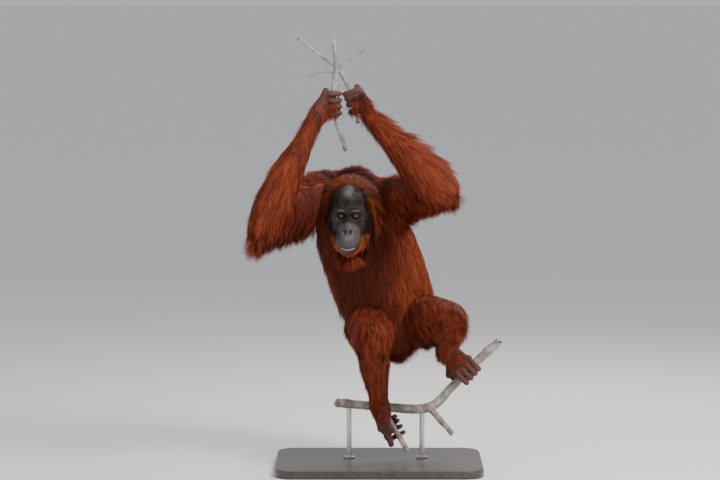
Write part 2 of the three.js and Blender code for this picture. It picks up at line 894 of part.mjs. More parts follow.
// Where a branch is gripped: its frame at each distance along it from the middle of the grip
function grip(shape, t, reference) {
  const near = shape.frame(t - 0.01).at;
  const step = shape.frame(t + 0.01).at.distanceTo(near) / 0.02;
  return (offset) => {
    const f = shape.frame(t + offset / step);
    const first = reference.clone().addScaledVector(f.along, -reference.dot(f.along)).normalize();
    return { centre: f.at, along: f.along, first, second: f.along.clone().cross(first), radius: f.wide };
  };
}
const onGrip = (hold, distance, angle) =>
  hold.centre
    .clone()
    .addScaledVector(hold.first, distance * Math.cos(angle))
    .addScaledVector(hold.second, distance * Math.sin(angle));

// A digit wraps round the branch: it starts at its root's distance and closes on the branch.
function digitStations(hold, { offset, start, end, root, thick, thin }) {
  const at = hold(offset);
  const stations = [];
  const steps = 6;
  for (let i = 0; i <= steps; i++) {
    const share = i / steps;
    const angle = THREE.MathUtils.degToRad(start + (end - start) * share);
    const knuckle = 1 + 0.06 * Math.cos(share * turn * 2);
    const radius = (thick + (thin - thick) * share * share) * knuckle;
    const close = at.radius + radius + gap + digitClear;
    const distance = close + Math.max(root - close, 0) * (1 - share) ** 3;
    stations.push([onGrip(at, distance, angle), radius]);
  }
  return stations;
}

// A hand or foot: its bones fan out to the roots of the digits, and flat cuts part it from them
function extremity({ name, digit, root, cut, hold, digits, tarsals, finish, palmSize }) {
  const lines = digits.map((one) => {
    const stations = digitStations(hold, one);
    const heading = stations[1][0].clone().sub(stations[0][0]);
    const tube = limb(stations, { side: hold(one.offset).along, sides: 6, rings: 7, dome: 0.75 });
    return { ...one, stations, heading, tube };
  });
  const row = lines.slice(0, 4);
  const middle = row.reduce((sum, one) => sum.add(one.stations[0][0]), v(0, 0, 0)).divideScalar(4);
  const direction = row.reduce((sum, one) => sum.add(one.heading), v(0, 0, 0));
  const along = hold(0).along;
  direction.addScaledVector(along, -direction.dot(along));
  const knuckles = squareTo(middle.clone().addScaledVector(direction.normalize(), 2), direction);
  for (const one of lines) one.plane = row.includes(one) ? knuckles : squareTo(one.stations[0][0], one.heading);
  const palm = limb(
    [
      [root, palmSize[0], palmSize[1]],
      [root.clone().lerp(middle, 0.5), (palmSize[0] + 35) / 2, (palmSize[1] + 11) / 2],
      [middle.clone().addScaledVector(direction.normalize(), 6), 34, 9],
    ],
    { side: along, sides: 8, rings: 4 },
  );
  const bones = lines.map((one) => {
    const knuckle = one.stations[0][0];
    const at = (share) => root.clone().lerp(knuckle, share);
    const bone = limb([[root, 14], [at(0.6), one.thick + 1.5], [at(1), one.thick + 1], [at(1.05), one.thick + 0.8]], {
      side: along,
      sides: 6,
      rings: 4,
      dome: 0.5,
    });
    return (grow) => before(bone.solid(grow), one.plane, grow);
  });
  const palmPiece = (grow) => before(palm.solid(grow), knuckles, grow);
  const core = (grow) => {
    const inner = [...bones.map((bone) => bone(grow)), ...tarsals.map((piece) => piece.solid(grow))];
    const made = join([palmPiece(grow), ...inner]);
    return beyond(made, cut, grow);
  };
  node(name, finish, core, { pivot: root });
  for (const one of lines)
    node(digit + one.name, finish, (grow) => beyond(one.tube.solid(grow), one.plane, grow), {
      pivot: one.stations[0][0],
    });
}

const digitClear = 0.9; // a digit stays this far clear of what it grips, for the chords of its wrap
const fingerRow = (start, end, thumb) => [
  { name: "_index", offset: 28.5, start, end, root: 30, thick: 9, thin: 7 },
  { name: "_middle", offset: 9.5, start, end, root: 30, thick: 9.1, thin: 7.2 },
  { name: "_ring", offset: -9.5, start, end, root: 30, thick: 9.1, thin: 7.2 },
  { name: "_little", offset: -28, start, end: end + (start - end) * 0.08, root: 30, thick: 8.4, thin: 6.6 },
  { name: "_thumb", ...thumb },
];
const wristPiece = (wrist, elbow) =>
  limb([[wrist.clone().lerp(elbow, 0.06), 25, 20], [wrist, 25, 20], [wrist.clone().lerp(elbow, -0.06), 24, 18]], {
    side: v(0, 1, 0),
    sides: 8,
    rings: 3,
  });
const holdRight = grip(stemRight, 0.34, acrossX);
extremity({
  name: "hand_right",
  digit: "finger_right",
  root: wristRight,
  cut: arms.right.wristCut,
  hold: holdRight,
  digits: fingerRow(212, 430, { offset: 18, start: 172, end: 84, root: 31, thick: 8.6, thin: 7 }),
  tarsals: [wristPiece(wristRight, elbowRight)],
  palmSize: [25, 19],
  finish: "limb_skin",
});
const holdLeft = grip(stemLeft, 0.25, acrossX);
extremity({
  name: "hand_left",
  digit: "finger_left",
  root: wristLeft,
  cut: arms.left.wristCut,
  hold: holdLeft,
  digits: fingerRow(-32, -250, { offset: 18, start: 8, end: 96, root: 31, thick: 8.6, thin: 7 }),
  tarsals: [wristPiece(wristLeft, elbowLeft)],
  palmSize: [25, 19],
  finish: "limb_skin",
});

// The right foot hangs down the lower limb of the branch, its heel on the main line. Angles: 0 is up and to the
// animal's left, 90 is in front of the branch
const toeRow = (start, end, big, root) => [
  { name: "_second", offset: -28.5, start, end, root, thick: 9, thin: 6.8 },
  { name: "_third", offset: -9.5, start, end, root, thick: 9.1, thin: 7 },
  { name: "_fourth", offset: 9.5, start, end, root, thick: 9.1, thin: 7 },
  { name: "_fifth", offset: 28, start, end: end + (start - end) * 0.08, root, thick: 8.4, thin: 6.6 },
  { name: "_big", ...big },
];
extremity({
  name: "foot_right",
  digit: "toe_right",
  root: v(-2, -22, 205),
  cut: legs.right.ankleCut,
  hold: grip(branchLower, 0.58, v(0.86, 0, 0.5)),
  digits: toeRow(158, 372, { offset: -44, start: 142, end: 62, root: 27, thick: 8.6, thin: 7 }, 31),
  tarsals: [
    limb([
      [v(-3, -40, 240), 27, 25],
      [v(-2, -28, 216), 28, 24],
      [v(2, -21, 192), 31, 19],
      [v(8, -17, 168), 29, 14],
    ], {
      sides: 8,
      rings: 5,
      dome: 1,
    }),
    limb([[v(-2, -34, 224), 22, 20], [v(-4, 4, 224), 22, 20], [v(-5, 28, 219), 17, 15]], { sides: 6, rings: 3, dome: 0.6 }),
  ],
  palmSize: [29, 17],
  finish: "limb_skin",
});

// The left foot reaches over the rising part of the branch
extremity({
  name: "foot_left",
  digit: "toe_left",
  root: v(212, 6, 343),
  cut: legs.left.ankleCut,
  hold: grip(branchMain, 0.67, v(-0.72, 0, 0.7)),
  digits: toeRow(36, 244, { offset: -46, start: -14, end: -104, root: 34, thick: 9, thin: 7 }, 36),
  tarsals: [
    limb([
      [ankleLeft.clone().lerp(kneeLeft, 0.12), 27, 26],
      [ankleLeft, 28, 25],
      [v(220, 4, 338), 30, 19],
      [v(240, 6, 325), 28, 14],
    ], {
      sides: 8,
      rings: 4,
    }),
    limb([[ankleLeft, 22, 20], [v(196, 32, 350), 21, 19], [v(194, 50, 344), 16, 15]], { sides: 6, rings: 3, dome: 0.6 }),
  ],
  palmSize: [28, 18],
  finish: "limb_skin",
});

// Finishes
const finishes = {
  coat: { color: 0x7a2c14, roughness: 0.7, metalness: 0 },
  face_skin: { color: 0x4a4040, roughness: 0.55, metalness: 0 },
  limb_skin: { color: 0x533a36, roughness: 0.6, metalness: 0 },
  eye: { color: 0x1e120c, roughness: 0.1, metalness: 0 },
  bark: { color: 0xb7aa9a, roughness: 0.85, metalness: 0 },
  base: { color: 0x3a3430, roughness: 0.5, metalness: 0 },
  rod: { color: 0x9a9a9c, roughness: 0.3, metalness: 1 },
};
const materials = Object.fromEntries(
  Object.entries(finishes).map(([name, look]) => [name, new THREE.MeshStandardMaterial(look)]),
);

// Each core is cut clear of those before it, each lock of every other core and of earlier locks
const group = new THREE.Group();
const grownCores = [];
const grownCoats = [];
const coated = [];
const nudges = [
  [0, 0, 0],
  ...[-gap, gap].flatMap((by) => [
    [by, 0, 0],
    [0, by, 0],
    [0, 0, by],
  ]),
];
for (const one of nodes) {
  one.solid = one.core(0);
  for (const other of grownCores) one.solid = cutClear(one.solid, other);
  one.solid = largest(one.solid);
  grownCores.push(one.core(gap));
}
nodes.forEach((one, index) => {
  const locks = one.coat(0);
  if (!locks.length) return;
  let coat = join(locks);
  grownCores.forEach((core, other) => {
    if (other !== index) coat = cutClear(coat, core);
  });
  for (const other of grownCoats) coat = cutClear(coat, other);
  for (const other of coated)
    for (const nudge of nudges) coat = cutClear(coat, other.translate(nudge));
  grownCoats.push(join(one.coat(gap)));
  one.solid = largest(one.solid.add(coat));
  coated.push(one.solid);
});
for (const one of nodes) one.solid = largest(one.solid.simplify(0.015));
for (const one of nodes) {
  const geometry = geometryOf(one.solid).translate(-one.pivot.x, -one.pivot.y, -one.pivot.z);
  const mesh = new THREE.Mesh(geometry, materials[one.finish]);
  mesh.name = one.name;
  mesh.position.copy(one.pivot);
  group.add(mesh);
}

export default group;
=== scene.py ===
# An orangutan that hangs by its hands from two stems and stands on a branch, on its display stand.
# The skin, the coat, the eyes and the perch are made here round the solids. Sizes are in millimetres.
import math

import bpy
import numpy as np
from mathutils import Matrix, Vector
from mathutils.kdtree import KDTree


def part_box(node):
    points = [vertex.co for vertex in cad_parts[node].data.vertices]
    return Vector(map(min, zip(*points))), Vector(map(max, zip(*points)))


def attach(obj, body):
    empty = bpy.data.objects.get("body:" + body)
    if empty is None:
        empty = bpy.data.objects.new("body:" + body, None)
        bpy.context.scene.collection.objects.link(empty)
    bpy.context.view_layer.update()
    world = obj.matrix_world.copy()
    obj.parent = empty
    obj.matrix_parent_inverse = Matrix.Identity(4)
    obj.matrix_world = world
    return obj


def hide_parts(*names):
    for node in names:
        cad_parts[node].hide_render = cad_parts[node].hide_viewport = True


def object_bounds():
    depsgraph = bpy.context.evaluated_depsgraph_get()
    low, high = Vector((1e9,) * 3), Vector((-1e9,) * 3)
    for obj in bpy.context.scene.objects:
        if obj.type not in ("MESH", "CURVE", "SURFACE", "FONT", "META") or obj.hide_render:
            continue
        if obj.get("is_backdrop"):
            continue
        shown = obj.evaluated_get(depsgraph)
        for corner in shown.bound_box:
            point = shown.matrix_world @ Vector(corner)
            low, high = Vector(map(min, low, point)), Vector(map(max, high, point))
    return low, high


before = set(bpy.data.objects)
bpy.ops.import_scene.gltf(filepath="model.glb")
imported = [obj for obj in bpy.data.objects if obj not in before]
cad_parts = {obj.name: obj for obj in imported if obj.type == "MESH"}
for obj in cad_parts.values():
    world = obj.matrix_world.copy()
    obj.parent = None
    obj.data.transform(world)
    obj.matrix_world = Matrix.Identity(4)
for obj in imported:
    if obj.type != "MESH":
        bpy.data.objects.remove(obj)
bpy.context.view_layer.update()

metre = 0.001
up = np.array([0.0, 0.0, 1.0])
acrossX = np.array([1.0, 0.0, 0.0])
acrossY = np.array([0.0, 1.0, 0.0])


def vec(x, y, z):
    return np.array([x, y, z], float)


def unit(a):
    return a / np.maximum(np.linalg.norm(a, axis=-1, keepdims=True), 1e-9)


def dot(a, b):
    return np.sum(a * b, axis=-1, keepdims=True)


def smooth(low, high, x):
    t = np.clip((x - low) / (high - low), 0, 1)
    return t * t * (3 - 2 * t)


def bell(x, centre, width):
    return np.exp(-(((x - centre) / width) ** 2))


def mix(a, b, t):
    return a + (b - a) * t


# Meshes from arrays
def meshObject(name, points, faces, material=None, scale=metre):
    mesh = bpy.data.meshes.new(name)
    points = np.asarray(points, np.float32) * scale
    if isinstance(faces, list):
        sizes, flat = [len(face) for face in faces], np.concatenate(faces)
    else:
        sizes, flat = np.full(len(faces), faces.shape[1]), faces.ravel()
    mesh.vertices.add(len(points))
    mesh.vertices.foreach_set("co", points.ravel())
    mesh.loops.add(len(flat))
    mesh.loops.foreach_set("vertex_index", flat.astype(np.int32))
    mesh.polygons.add(len(sizes))
    mesh.polygons.foreach_set("loop_start", np.concatenate([[0], np.cumsum(sizes)[:-1]]).astype(np.int32))
    mesh.update(calc_edges=True)
    mesh.validate()
    mesh.shade_smooth()
    made = bpy.data.objects.new(name, mesh)
    bpy.context.scene.collection.objects.link(made)
    if material:
        mesh.materials.append(material)
    return made


def pointsOf(made):
    out = np.zeros(len(made.data.vertices) * 3, np.float32)
    made.data.vertices.foreach_get("co", out)
    return out.reshape(-1, 3).astype(float) / metre


def trianglesOf(made):
    made.data.calc_loop_triangles()
    out = np.zeros(len(made.data.loop_triangles) * 3, np.int32)
    made.data.loop_triangles.foreach_get("vertices", out)
    return out.reshape(-1, 3)


def joined(parts):
    # Several (points, faces) shells as one; faces are lists of corners
    points, faces, start = [], [], 0
    for shellPoints, shellFaces in parts:
        points.append(shellPoints)
        faces.extend([np.asarray(f) + start for f in shellFaces])
        start += len(shellPoints)
    return np.vstack(points), faces


def colourPoints(made, name, colours):
    # One colour for each vertex, kept as an attribute of the mesh
    layer = made.data.color_attributes.new(name, "FLOAT_COLOR", "POINT")
    layer.data.foreach_set("color", np.c_[colours, np.ones(len(colours))].astype(np.float32).ravel())


def evaluated(made, name):
    # The object with its modifiers as a plain mesh
    bpy.context.view_layer.update()
    mesh = bpy.data.meshes.new_from_object(made.evaluated_get(bpy.context.evaluated_depsgraph_get()))
    made.modifiers.clear()
    old = made.data
    made.data = mesh
    made.name = mesh.name = name
    bpy.data.meshes.remove(old)
    return made


def voxelJoin(name, parts, voxel, rounds, keep=1.0):
    # Overlapping shells fused into one skin, of which the share keep of the faces is left
    made = meshObject(name, *joined(parts))
    remesh = made.modifiers.new("fuse", "REMESH")
    remesh.mode = "VOXEL"
    remesh.voxel_size = voxel * metre
    remesh.use_smooth_shade = True
    soften = made.modifiers.new("soften", "SMOOTH")
    soften.factor = 0.5
    soften.iterations = rounds
    if keep < 1:
        thin = made.modifiers.new("thin", "DECIMATE")
        thin.ratio = keep
    return evaluated(made, name)


# Smooth lines and the tubes along them
def spline(points, t):
    points = np.asarray(points, float)
    last = len(points) - 1
    padded = np.vstack([2 * points[0] - points[1], points, 2 * points[-1] - points[-2]])
    place = np.asarray(t, float) * last
    first = np.clip(np.floor(place), 0, last - 1).astype(int)
    w = (place - first)[..., None]
    a, b, c, d = (padded[first + i] for i in range(4))
    return b + 0.5 * w * ((c - a) + w * ((2 * a - 5 * b + 4 * c - d) + w * (3 * (b - c) + d - a)))


class Limb:
    # Ellipses along a smooth line through stations (point, wide radius, deep radius)
    def __init__(self, stations, side=acrossX):
        self.line = np.array([s[0] for s in stations], float)
        self.girth = np.array([(s[1], s[2] if len(s) > 2 else s[1]) for s in stations], float)
        self.side = np.asarray(side, float)

    def frame(self, t):
        t = np.asarray(t, float)
        at = spline(self.line, t)
        along = unit(spline(self.line, t + 1e-4) - spline(self.line, t - 1e-4))
        wideAxis = unit(self.side - along * dot(along, self.side))
        return at, along, wideAxis, np.cross(along, wideAxis), spline(self.girth, t)

    def surface(self, t, angle, depth=0.0):
        at, along, wideAxis, deepAxis, girth = self.frame(t)
        c, s = np.cos(angle)[..., None], np.sin(angle)[..., None]
        return at + wideAxis * (girth[..., :1] + depth) * c + deepAxis * (girth[..., 1:] + depth) * s

    def outward(self, t, angle):
        at, along, wideAxis, deepAxis, girth = self.frame(t)
        c, s = np.cos(angle)[..., None], np.sin(angle)[..., None]
        return unit(wideAxis * c / girth[..., :1] + deepAxis * s / girth[..., 1:])

    def shell(self, rings=24, sides=20, depth=0.0, dome=0.6, ripple=None):
        # A closed tube with a domed cap of three rings at each end
        t = np.linspace(0, 1, rings)[:, None]
        angle = np.linspace(0, 2 * math.pi, sides, endpoint=False)[None, :]
        t, angle = np.broadcast_arrays(t, angle)
        body = self.surface(t, angle, depth)
        if ripple is not None:
            body = body + self.outward(t, angle) * ripple(t, angle)[..., None]
        rows, tips = list(body), []
        for end, edge, sign in ((0.0, body[0], -1), (1.0, body[-1], 1)):
            at, along, _, _, girth = self.frame(np.array(end))
            reach = sign * dome * (min(girth) + depth)
            cap = [
                at + (edge - at) * math.sqrt(1 - lift * lift) + along * reach * lift
                for lift in (0.35, 0.65, 0.88)
            ]
            rows = rows + cap if end else cap[::-1] + rows
            tips.append(at + along * reach)
        return ringShell(rows, *tips)


def ringShell(rows, first, last):
    # Rings of points joined into a closed surface, with a point at each end
    count = len(rows[0])
    points = np.vstack([first[None], np.vstack(rows), last[None]])
    faces = []
    for i in range(count):
        j = (i + 1) % count
        faces.append((0, 1 + j, 1 + i))
        top = 1 + (len(rows) - 1) * count
        faces.append((len(points) - 1, top + i, top + j))
        for row in range(len(rows) - 1):
            low = 1 + row * count
            faces.append((low + i, low + j, low + count + j, low + count + i))
    return points, faces


def ball(centre, radii, rings=14, sides=20):
    angle = np.linspace(0, 2 * math.pi, sides, endpoint=False)
    radii = np.array(radii, float)
    rows = []
    for r in np.linspace(-math.pi / 2, math.pi / 2, rings + 2)[1:-1]:
        ways = [math.cos(r) * np.cos(angle), math.cos(r) * np.sin(angle), 0 * angle + math.sin(r)]
        rows.append(centre + radii * np.stack(ways, 1))
    return ringShell(rows, centre - radii * up, centre + radii * up)


# Materials
class Value:
    # A socket that can be used in arithmetic: each operator adds a Math node
    def __init__(self, tree, socket):
        self.tree, self.socket = tree, socket

    def maths(self, operation, *terms):
        node = self.tree.nodes.new("ShaderNodeMath")
        node.operation = operation
        for plug, term in zip(node.inputs, terms):
            if isinstance(term, Value):
                self.tree.links.new(term.socket, plug)
            else:
                plug.default_value = term
        return Value(self.tree, node.outputs[0])

    def __add__(self, other):
        return self.maths("ADD", self, other)

    def __sub__(self, other):
        return self.maths("SUBTRACT", self, other)

    def __mul__(self, other):
        return self.maths("MULTIPLY", self, other)

    def __radd__(self, other):
        return self.maths("ADD", other, self)

    def __rsub__(self, other):
        return self.maths("SUBTRACT", other, self)

    def __rmul__(self, other):
        return self.maths("MULTIPLY", other, self)

    def clamped(self, low=0.0, high=1.0):
        raised = self.maths("MAXIMUM", self, low)
        return self.maths("MINIMUM", raised, high)


class Finish:
    # A material and its shader nodes
    def __init__(self, name, colour, roughness, **fixed):
        self.material = bpy.data.materials.new(name)
        self.material.use_nodes = True
        self.tree = self.material.node_tree
        self.shader = next(n for n in self.tree.nodes if n.type == "BSDF_PRINCIPLED")
        self.set("Base Color", (*colour, 1.0))
        self.set("Roughness", roughness)
        for socket, value in fixed.items():
            self.set(socket.replace("_", " "), value)
        self.material.diffuse_color = (*colour, 1.0)

    def set(self, socket, value):
        if isinstance(value, Value):
            self.tree.links.new(value.socket, self.shader.inputs[socket])
        else:
            self.shader.inputs[socket].default_value = value

    def node(self, kind, settings=None, sockets=None, output=0):
        node = self.tree.nodes.new(kind)
        for key, value in (settings or {}).items():
            if key == "stops":
                while len(node.color_ramp.elements) < len(value):
                    node.color_ramp.elements.new(0.5)
                for element, (place, colour) in zip(node.color_ramp.elements, value):
                    element.position = place
                    element.color = (*colour, 1.0)
            else:
                setattr(node, key, value)
        for key, value in (sockets or {}).items():
            if isinstance(value, Value):
                self.tree.links.new(value.socket, node.inputs[key])
            else:
                node.inputs[key].default_value = value
        return Value(self.tree, node.outputs[output])

    def place(self, scale=(1, 1, 1)):
        objectPlace = self.node("ShaderNodeTexCoord", output=3)
        return self.node("ShaderNodeMapping", sockets={"Vector": objectPlace, "Scale": scale})

    def noise(self, scale, detail=4.0, roughness=0.5, stretch=(1, 1, 1)):
        return self.node(
            "ShaderNodeTexNoise",
            sockets={"Vector": self.place(stretch), "Scale": scale, "Detail": detail, "Roughness": roughness},
        )

    def ramp(self, factor, *stops):
        return self.node("ShaderNodeValToRGB", {"stops": stops}, {"Fac": factor})

    def blended(self, factor, a, b, blend="MIX"):
        settings = {"data_type": "RGBA", "blend_type": blend}
        return self.node("ShaderNodeMix", settings, {0: factor, 6: a, 7: b}, output=2)

    def painted(self, name):
        return self.node("ShaderNodeVertexColor", {"layer_name": name})

    def bump(self, height, strength, distance):
        sockets = {"Height": height, "Strength": strength, "Distance": distance}
        self.set("Normal", self.node("ShaderNodeBump", sockets=sockets))


# The pose: joints, and the trunk and limbs as lines with their skin's radii
pose = {
    "shoulderRight": vec(-143, 30, 836),
    "elbowRight": vec(-331, -240, 785),
    "wristRight": vec(-196, -140, 1046),
    "shoulderLeft": vec(28, 50, 813),
    "elbowLeft": vec(174, -244, 866),
    "wristLeft": vec(-22, -148, 1058),
    "hipRight": vec(-26, 70, 447),
    "kneeRight": vec(-23, -175, 413),
    "ankleRight": vec(-2, -32, 224),
    "hipLeft": vec(100, 75, 452),
    "kneeLeft": vec(205, -165, 475),
    "ankleLeft": vec(200, 5, 355),
    "eyeLine": vec(-91, -165, 773),
    "headPitch": math.radians(8),
    "headYaw": math.radians(-4),
}


def between(a, b, *shares, side=acrossX):
    return Limb([(mix(a, b, s[0]), *s[1:]) for s in shares], side)


def upperArm(shoulder, elbow):
    radii = (-0.06, 48), (0.12, 54), (0.4, 48), (0.7, 43), (0.93, 40), (1.08, 30)
    return between(shoulder, elbow, *radii, side=up)


def foreArm(elbow, wrist):
    radii = (-0.1, 28), (0.03, 40), (0.22, 44), (0.5, 38), (0.8, 29, 26), (1, 26, 21), (1.08, 25, 20)
    return between(elbow, wrist, *radii, side=acrossY)


def thigh(hip, knee):
    return between(hip, knee, (-0.12, 52), (0.15, 64), (0.45, 60), (0.75, 52), (0.98, 44), (1.12, 30))


def shin(knee, ankle):
    return between(knee, ankle, (-0.14, 28), (0.02, 42), (0.3, 42), (0.62, 34), (0.9, 27), (1.1, 26))


trunk = Limb(
    [
        (vec(-76, 22, 868), 52, 50),
        (vec(-68, 32, 832), 96, 72),
        (vec(-58, 42, 790), 114, 86),
        (vec(-48, 48, 745), 119, 92),
        (vec(-34, 52, 690), 121, 97),
        (vec(-9, 60, 610), 120, 100),
        (vec(15, 70, 540), 116, 98),
        (vec(38, 78, 475), 102, 92),
        (vec(48, 84, 425), 84, 80),
        (vec(52, 86, 402), 58, 56),
    ]
)
neck = Limb(
    [
        (vec(-70, 50, 800), 66, 62),
        (vec(-78, 0, 800), 68, 62),
        (vec(-84, -50, 792), 66, 62),
        (vec(-88, -100, 785), 60, 58),
    ]
)
limbs = {"trunk": trunk, "neck": neck}
for pair in (
    (("upperArm", upperArm, "shoulder", "elbow"), ("foreArm", foreArm, "elbow", "wrist")),
    (("thigh", thigh, "hip", "knee"), ("shin", shin, "knee", "ankle")),
):
    for side in ("Right", "Left"):
        for name, shape, start, end in pair:
            limbs[name + side] = shape(pose[start + side], pose[end + side])


# The perch's lines, which the hands and feet close on
def stem(*stations):
    # The stems stand in one plane; stations are (x, z, radius)
    return Limb([(vec(x, -95, z), r) for x, z, r in stations])


stemRight = stem(
    (-99, 960, 6), (-129, 1057, 7), (-135, 1117, 7.5), (-132, 1177, 7.5), (-127, 1206, 8), (-135, 1291, 5)
)
stemLeft = stem((-63, 1042, 5), (-78, 1111, 6.5), (-93, 1153, 6.5), (-111, 1188, 6.5), (-126, 1206, 6.5))
twigs = [
    stem((-128, 1210, 6), (-180, 1247, 5), (-233, 1288, 4.5), (-239, 1293, 6)),
    Limb([(vec(-131, -95, 1192), 3), (vec(-168, -99, 1194), 2.5), (vec(-213, -103, 1183), 1.8)]),
    Limb([(vec(-124, -95, 1206), 5), (vec(-81, -89, 1232), 4), (vec(-42, -83, 1262), 2.5)]),
]
branchMain = Limb(
    [
        (vec(-125, 22, 192), 12.5),
        (vec(-110, 22, 191), 13.5),
        (vec(19, 22, 180), 14),
        (vec(148, 22, 178), 15),
        (vec(220, 26, 240), 14),
        (vec(289, 32, 311), 13),
        (vec(352, 36, 368), 12),
        (vec(361, 36, 375), 11.5),
    ],
    acrossY,
)
branchLower = Limb([(vec(11, 22, 180), 9.5), (vec(37, 6, 134), 9), (vec(85, 0, 52), 8.5)], acrossY)
branchStub = Limb([(vec(150, 22, 182), 10), (vec(185, 20, 140), 9.5), (vec(223, 18, 98), 8.5)], acrossY)

# Hands and feet: digits that wrap round the perch, bones that fan out to them
digitSettings = {
    "clear": 1.25,
    "thickest": 0.06,
    "nailStart": 0.86,
    "nailEnd": 0.995,
    "nailWide": 5.6,
    "nailThick": 1.1,
    "nailDome": 1.7,
}


def gripped(shape, t, reference):
    near, far = spline(shape.line, t - 0.01), spline(shape.line, t + 0.01)
    step = np.linalg.norm(far - near) / 0.02

    def hold(offset):
        at, along, _, _, girth = shape.frame(np.array(t + offset / step))
        first = unit(reference - along * dot(along, reference))
        return at, along, first, np.cross(along, first), girth[0]

    return hold


def onGrip(hold, distance, angle):
    at, along, first, second, _ = hold
    return at + first * distance * math.cos(angle) + second * distance * math.sin(angle)


def digitLine(hold, offset, start, end, root, thick, thin):
    at = hold(offset)
    stations = []
    for i in range(13):
        share = i / 12
        angle = math.radians(start + (end - start) * share)
        swell = 1 + digitSettings["thickest"] * math.cos(share * 4 * math.pi)
        radius = (thick + (thin - thick) * share * share) * swell
        close = at[4] + radius + digitSettings["clear"]
        distance = close + max(root - close, 0) * (1 - share) ** 3
        stations.append((onGrip(at, distance, angle), radius, radius * 0.97))
    return Limb(stations, at[1])


def creases(t, angle):
    # Skin folds over the joints of a digit
    folds = sum(bell(t, place, 0.035) for place in (0.26, 0.3, 0.55, 0.59, 0.8))
    return -0.35 * folds + 0.2 * np.sin(angle * 5 + t * 40)


nails = []


def addNail(line):
    # A nail lies on the outer side of a digit's last joint
    across = np.linspace(-1, 1, 9)[:, None]
    dome = digitSettings["nailDome"] * (1 - across**2) - 0.4
    rings = []
    for i, place in enumerate(np.linspace(digitSettings["nailStart"], digitSettings["nailEnd"], 7)):
        at, _, wideAxis, _, girth = line.frame(np.array(place))
        back = at - nailInside(line, place) * girth[0] * (0.86 if i in (0, 6) else 0.94)
        lift = unit(back - at)
        wide = digitSettings["nailWide"] * math.sqrt(max(0.12, 1 - (i / 3 - 0.75) ** 4))
        low = back + wideAxis * wide * across + lift * dome
        rings.append(np.vstack([low, (low + lift * digitSettings["nailThick"])[::-1]]))
    nails.append(ringShell(rings, rings[0].mean(0), rings[-1].mean(0)))


def nailInside(line, place):
    # Towards the middle of the curl, from the digit's own line
    a, b, c = (spline(line.line, place + d) for d in (-0.12, -0.04, 0.0))
    bend = unit(c - b) - unit(b - a)
    return unit(bend)


def extremity(root, hold, digits, tarsals, palm):
    # Shells of one hand or foot; digits are (offset, start, end, root distance, thick, thin)
    lines = [digitLine(hold, *digit) for digit in digits]
    middle = np.mean([line.line[0] for line in lines[:4]], 0)
    heading = np.sum([line.line[1] - line.line[0] for line in lines[:4]], 0)
    along = hold(0)[1]
    heading = unit(heading - along * dot(along, heading))
    halfway = (mix(root, middle, 0.5), (palm[0] + 35) / 2, (palm[1] + 11) / 2)
    shells = [Limb([(root, *palm), halfway, (middle + heading * 6, 34, 9)], along).shell(12, 22)]
    for line, (*_, thick, _) in zip(lines, digits):
        bone = (0, 14), (0.6, thick + 1.5), (1, thick + 1.4), (1.12, thick + 0.4)
        shells.append(line.shell(44, 14, dome=0.85, ripple=creases))
        shells.append(between(root, line.line[0], *bone, side=along).shell(10, 14))
        addNail(line)
    return shells + [piece.shell(12, 20, dome=0.8) for piece in tarsals]


def digitRow(way, start, end, root, thins):
    # Four digits side by side, of which the last closes a little less far
    ends = (end, end, end, end + (start - end) * 0.08)
    digits = zip((28.5, 9.5, -9.5, -28), ends, (9, 9.1, 9.1, 8.4), thins)
    return [(way * offset, start, stop, root, thick, thin) for offset, stop, thick, thin in digits]


def hand(side, hold, start, end, thumb):
    wrist = pose["wrist" + side]
    radii = (0.3, 27, 23), (0.06, 25, 20), (0, 25, 20), (-0.06, 24, 18)
    carpals = [between(wrist, pose["elbow" + side], *radii, side=acrossY)]
    digits = digitRow(1, start, end, 30, (7, 7.2, 7.2, 6.6)) + [thumb]
    return extremity(wrist, hold, digits, carpals, (25, 19))


def foot(heel, hold, start, end, bigToe, root, tarsals, palm):
    digits = digitRow(-1, start, end, root, (6.8, 7, 7, 6.6)) + [bigToe]
    return extremity(heel, hold, digits, tarsals, palm)


ankleRight, kneeRight, ankleLeft, kneeLeft = (
    pose[joint] for joint in ("ankleRight", "kneeRight", "ankleLeft", "kneeLeft")
)
handShells = hand("Right", gripped(stemRight, 0.34, acrossX), 212, 430, (18, 172, 84, 31, 8.6, 7))
handShells += hand("Left", gripped(stemLeft, 0.25, acrossX), -32, -250, (18, 8, 96, 31, 8.6, 7))
tarsalsRight = [
    Limb(
        [
            (mix(ankleRight, kneeRight, 0.2), 27, 26),
            (vec(-3, -40, 240), 27, 25),
            (vec(-2, -28, 216), 28, 24),
            (vec(2, -21, 192), 31, 19),
            (vec(8, -17, 168), 29, 14),
        ]
    ),
    Limb([(vec(-2, -34, 224), 22, 20), (vec(-4, 4, 224), 22, 20), (vec(-5, 28, 219), 17, 15)]),
]
tarsalsLeft = [
    Limb(
        [
            (mix(ankleLeft, kneeLeft, 0.25), 27, 26),
            (mix(ankleLeft, kneeLeft, 0.12), 27, 26),
            (ankleLeft, 28, 25),
            (vec(220, 4, 338), 30, 19),
            (vec(240, 6, 325), 28, 14),
        ]
    ),
    Limb([(ankleLeft, 22, 20), (vec(196, 32, 350), 21, 19), (vec(194, 50, 344), 16, 15)]),
]
footShells = foot(
    vec(-2, -22, 205), gripped(branchLower, 0.58, vec(0.86, 0, 0.5)),
    158, 372, (-44, 142, 62, 27, 8.6, 7), 31, tarsalsRight, (29, 17),
)
footShells += foot(
    vec(212, 6, 343), gripped(branchMain, 0.67, vec(-0.72, 0, 0.7)),
    36, 244, (-46, -14, -104, 34, 9, 7), 36, tarsalsLeft, (28, 18),
)

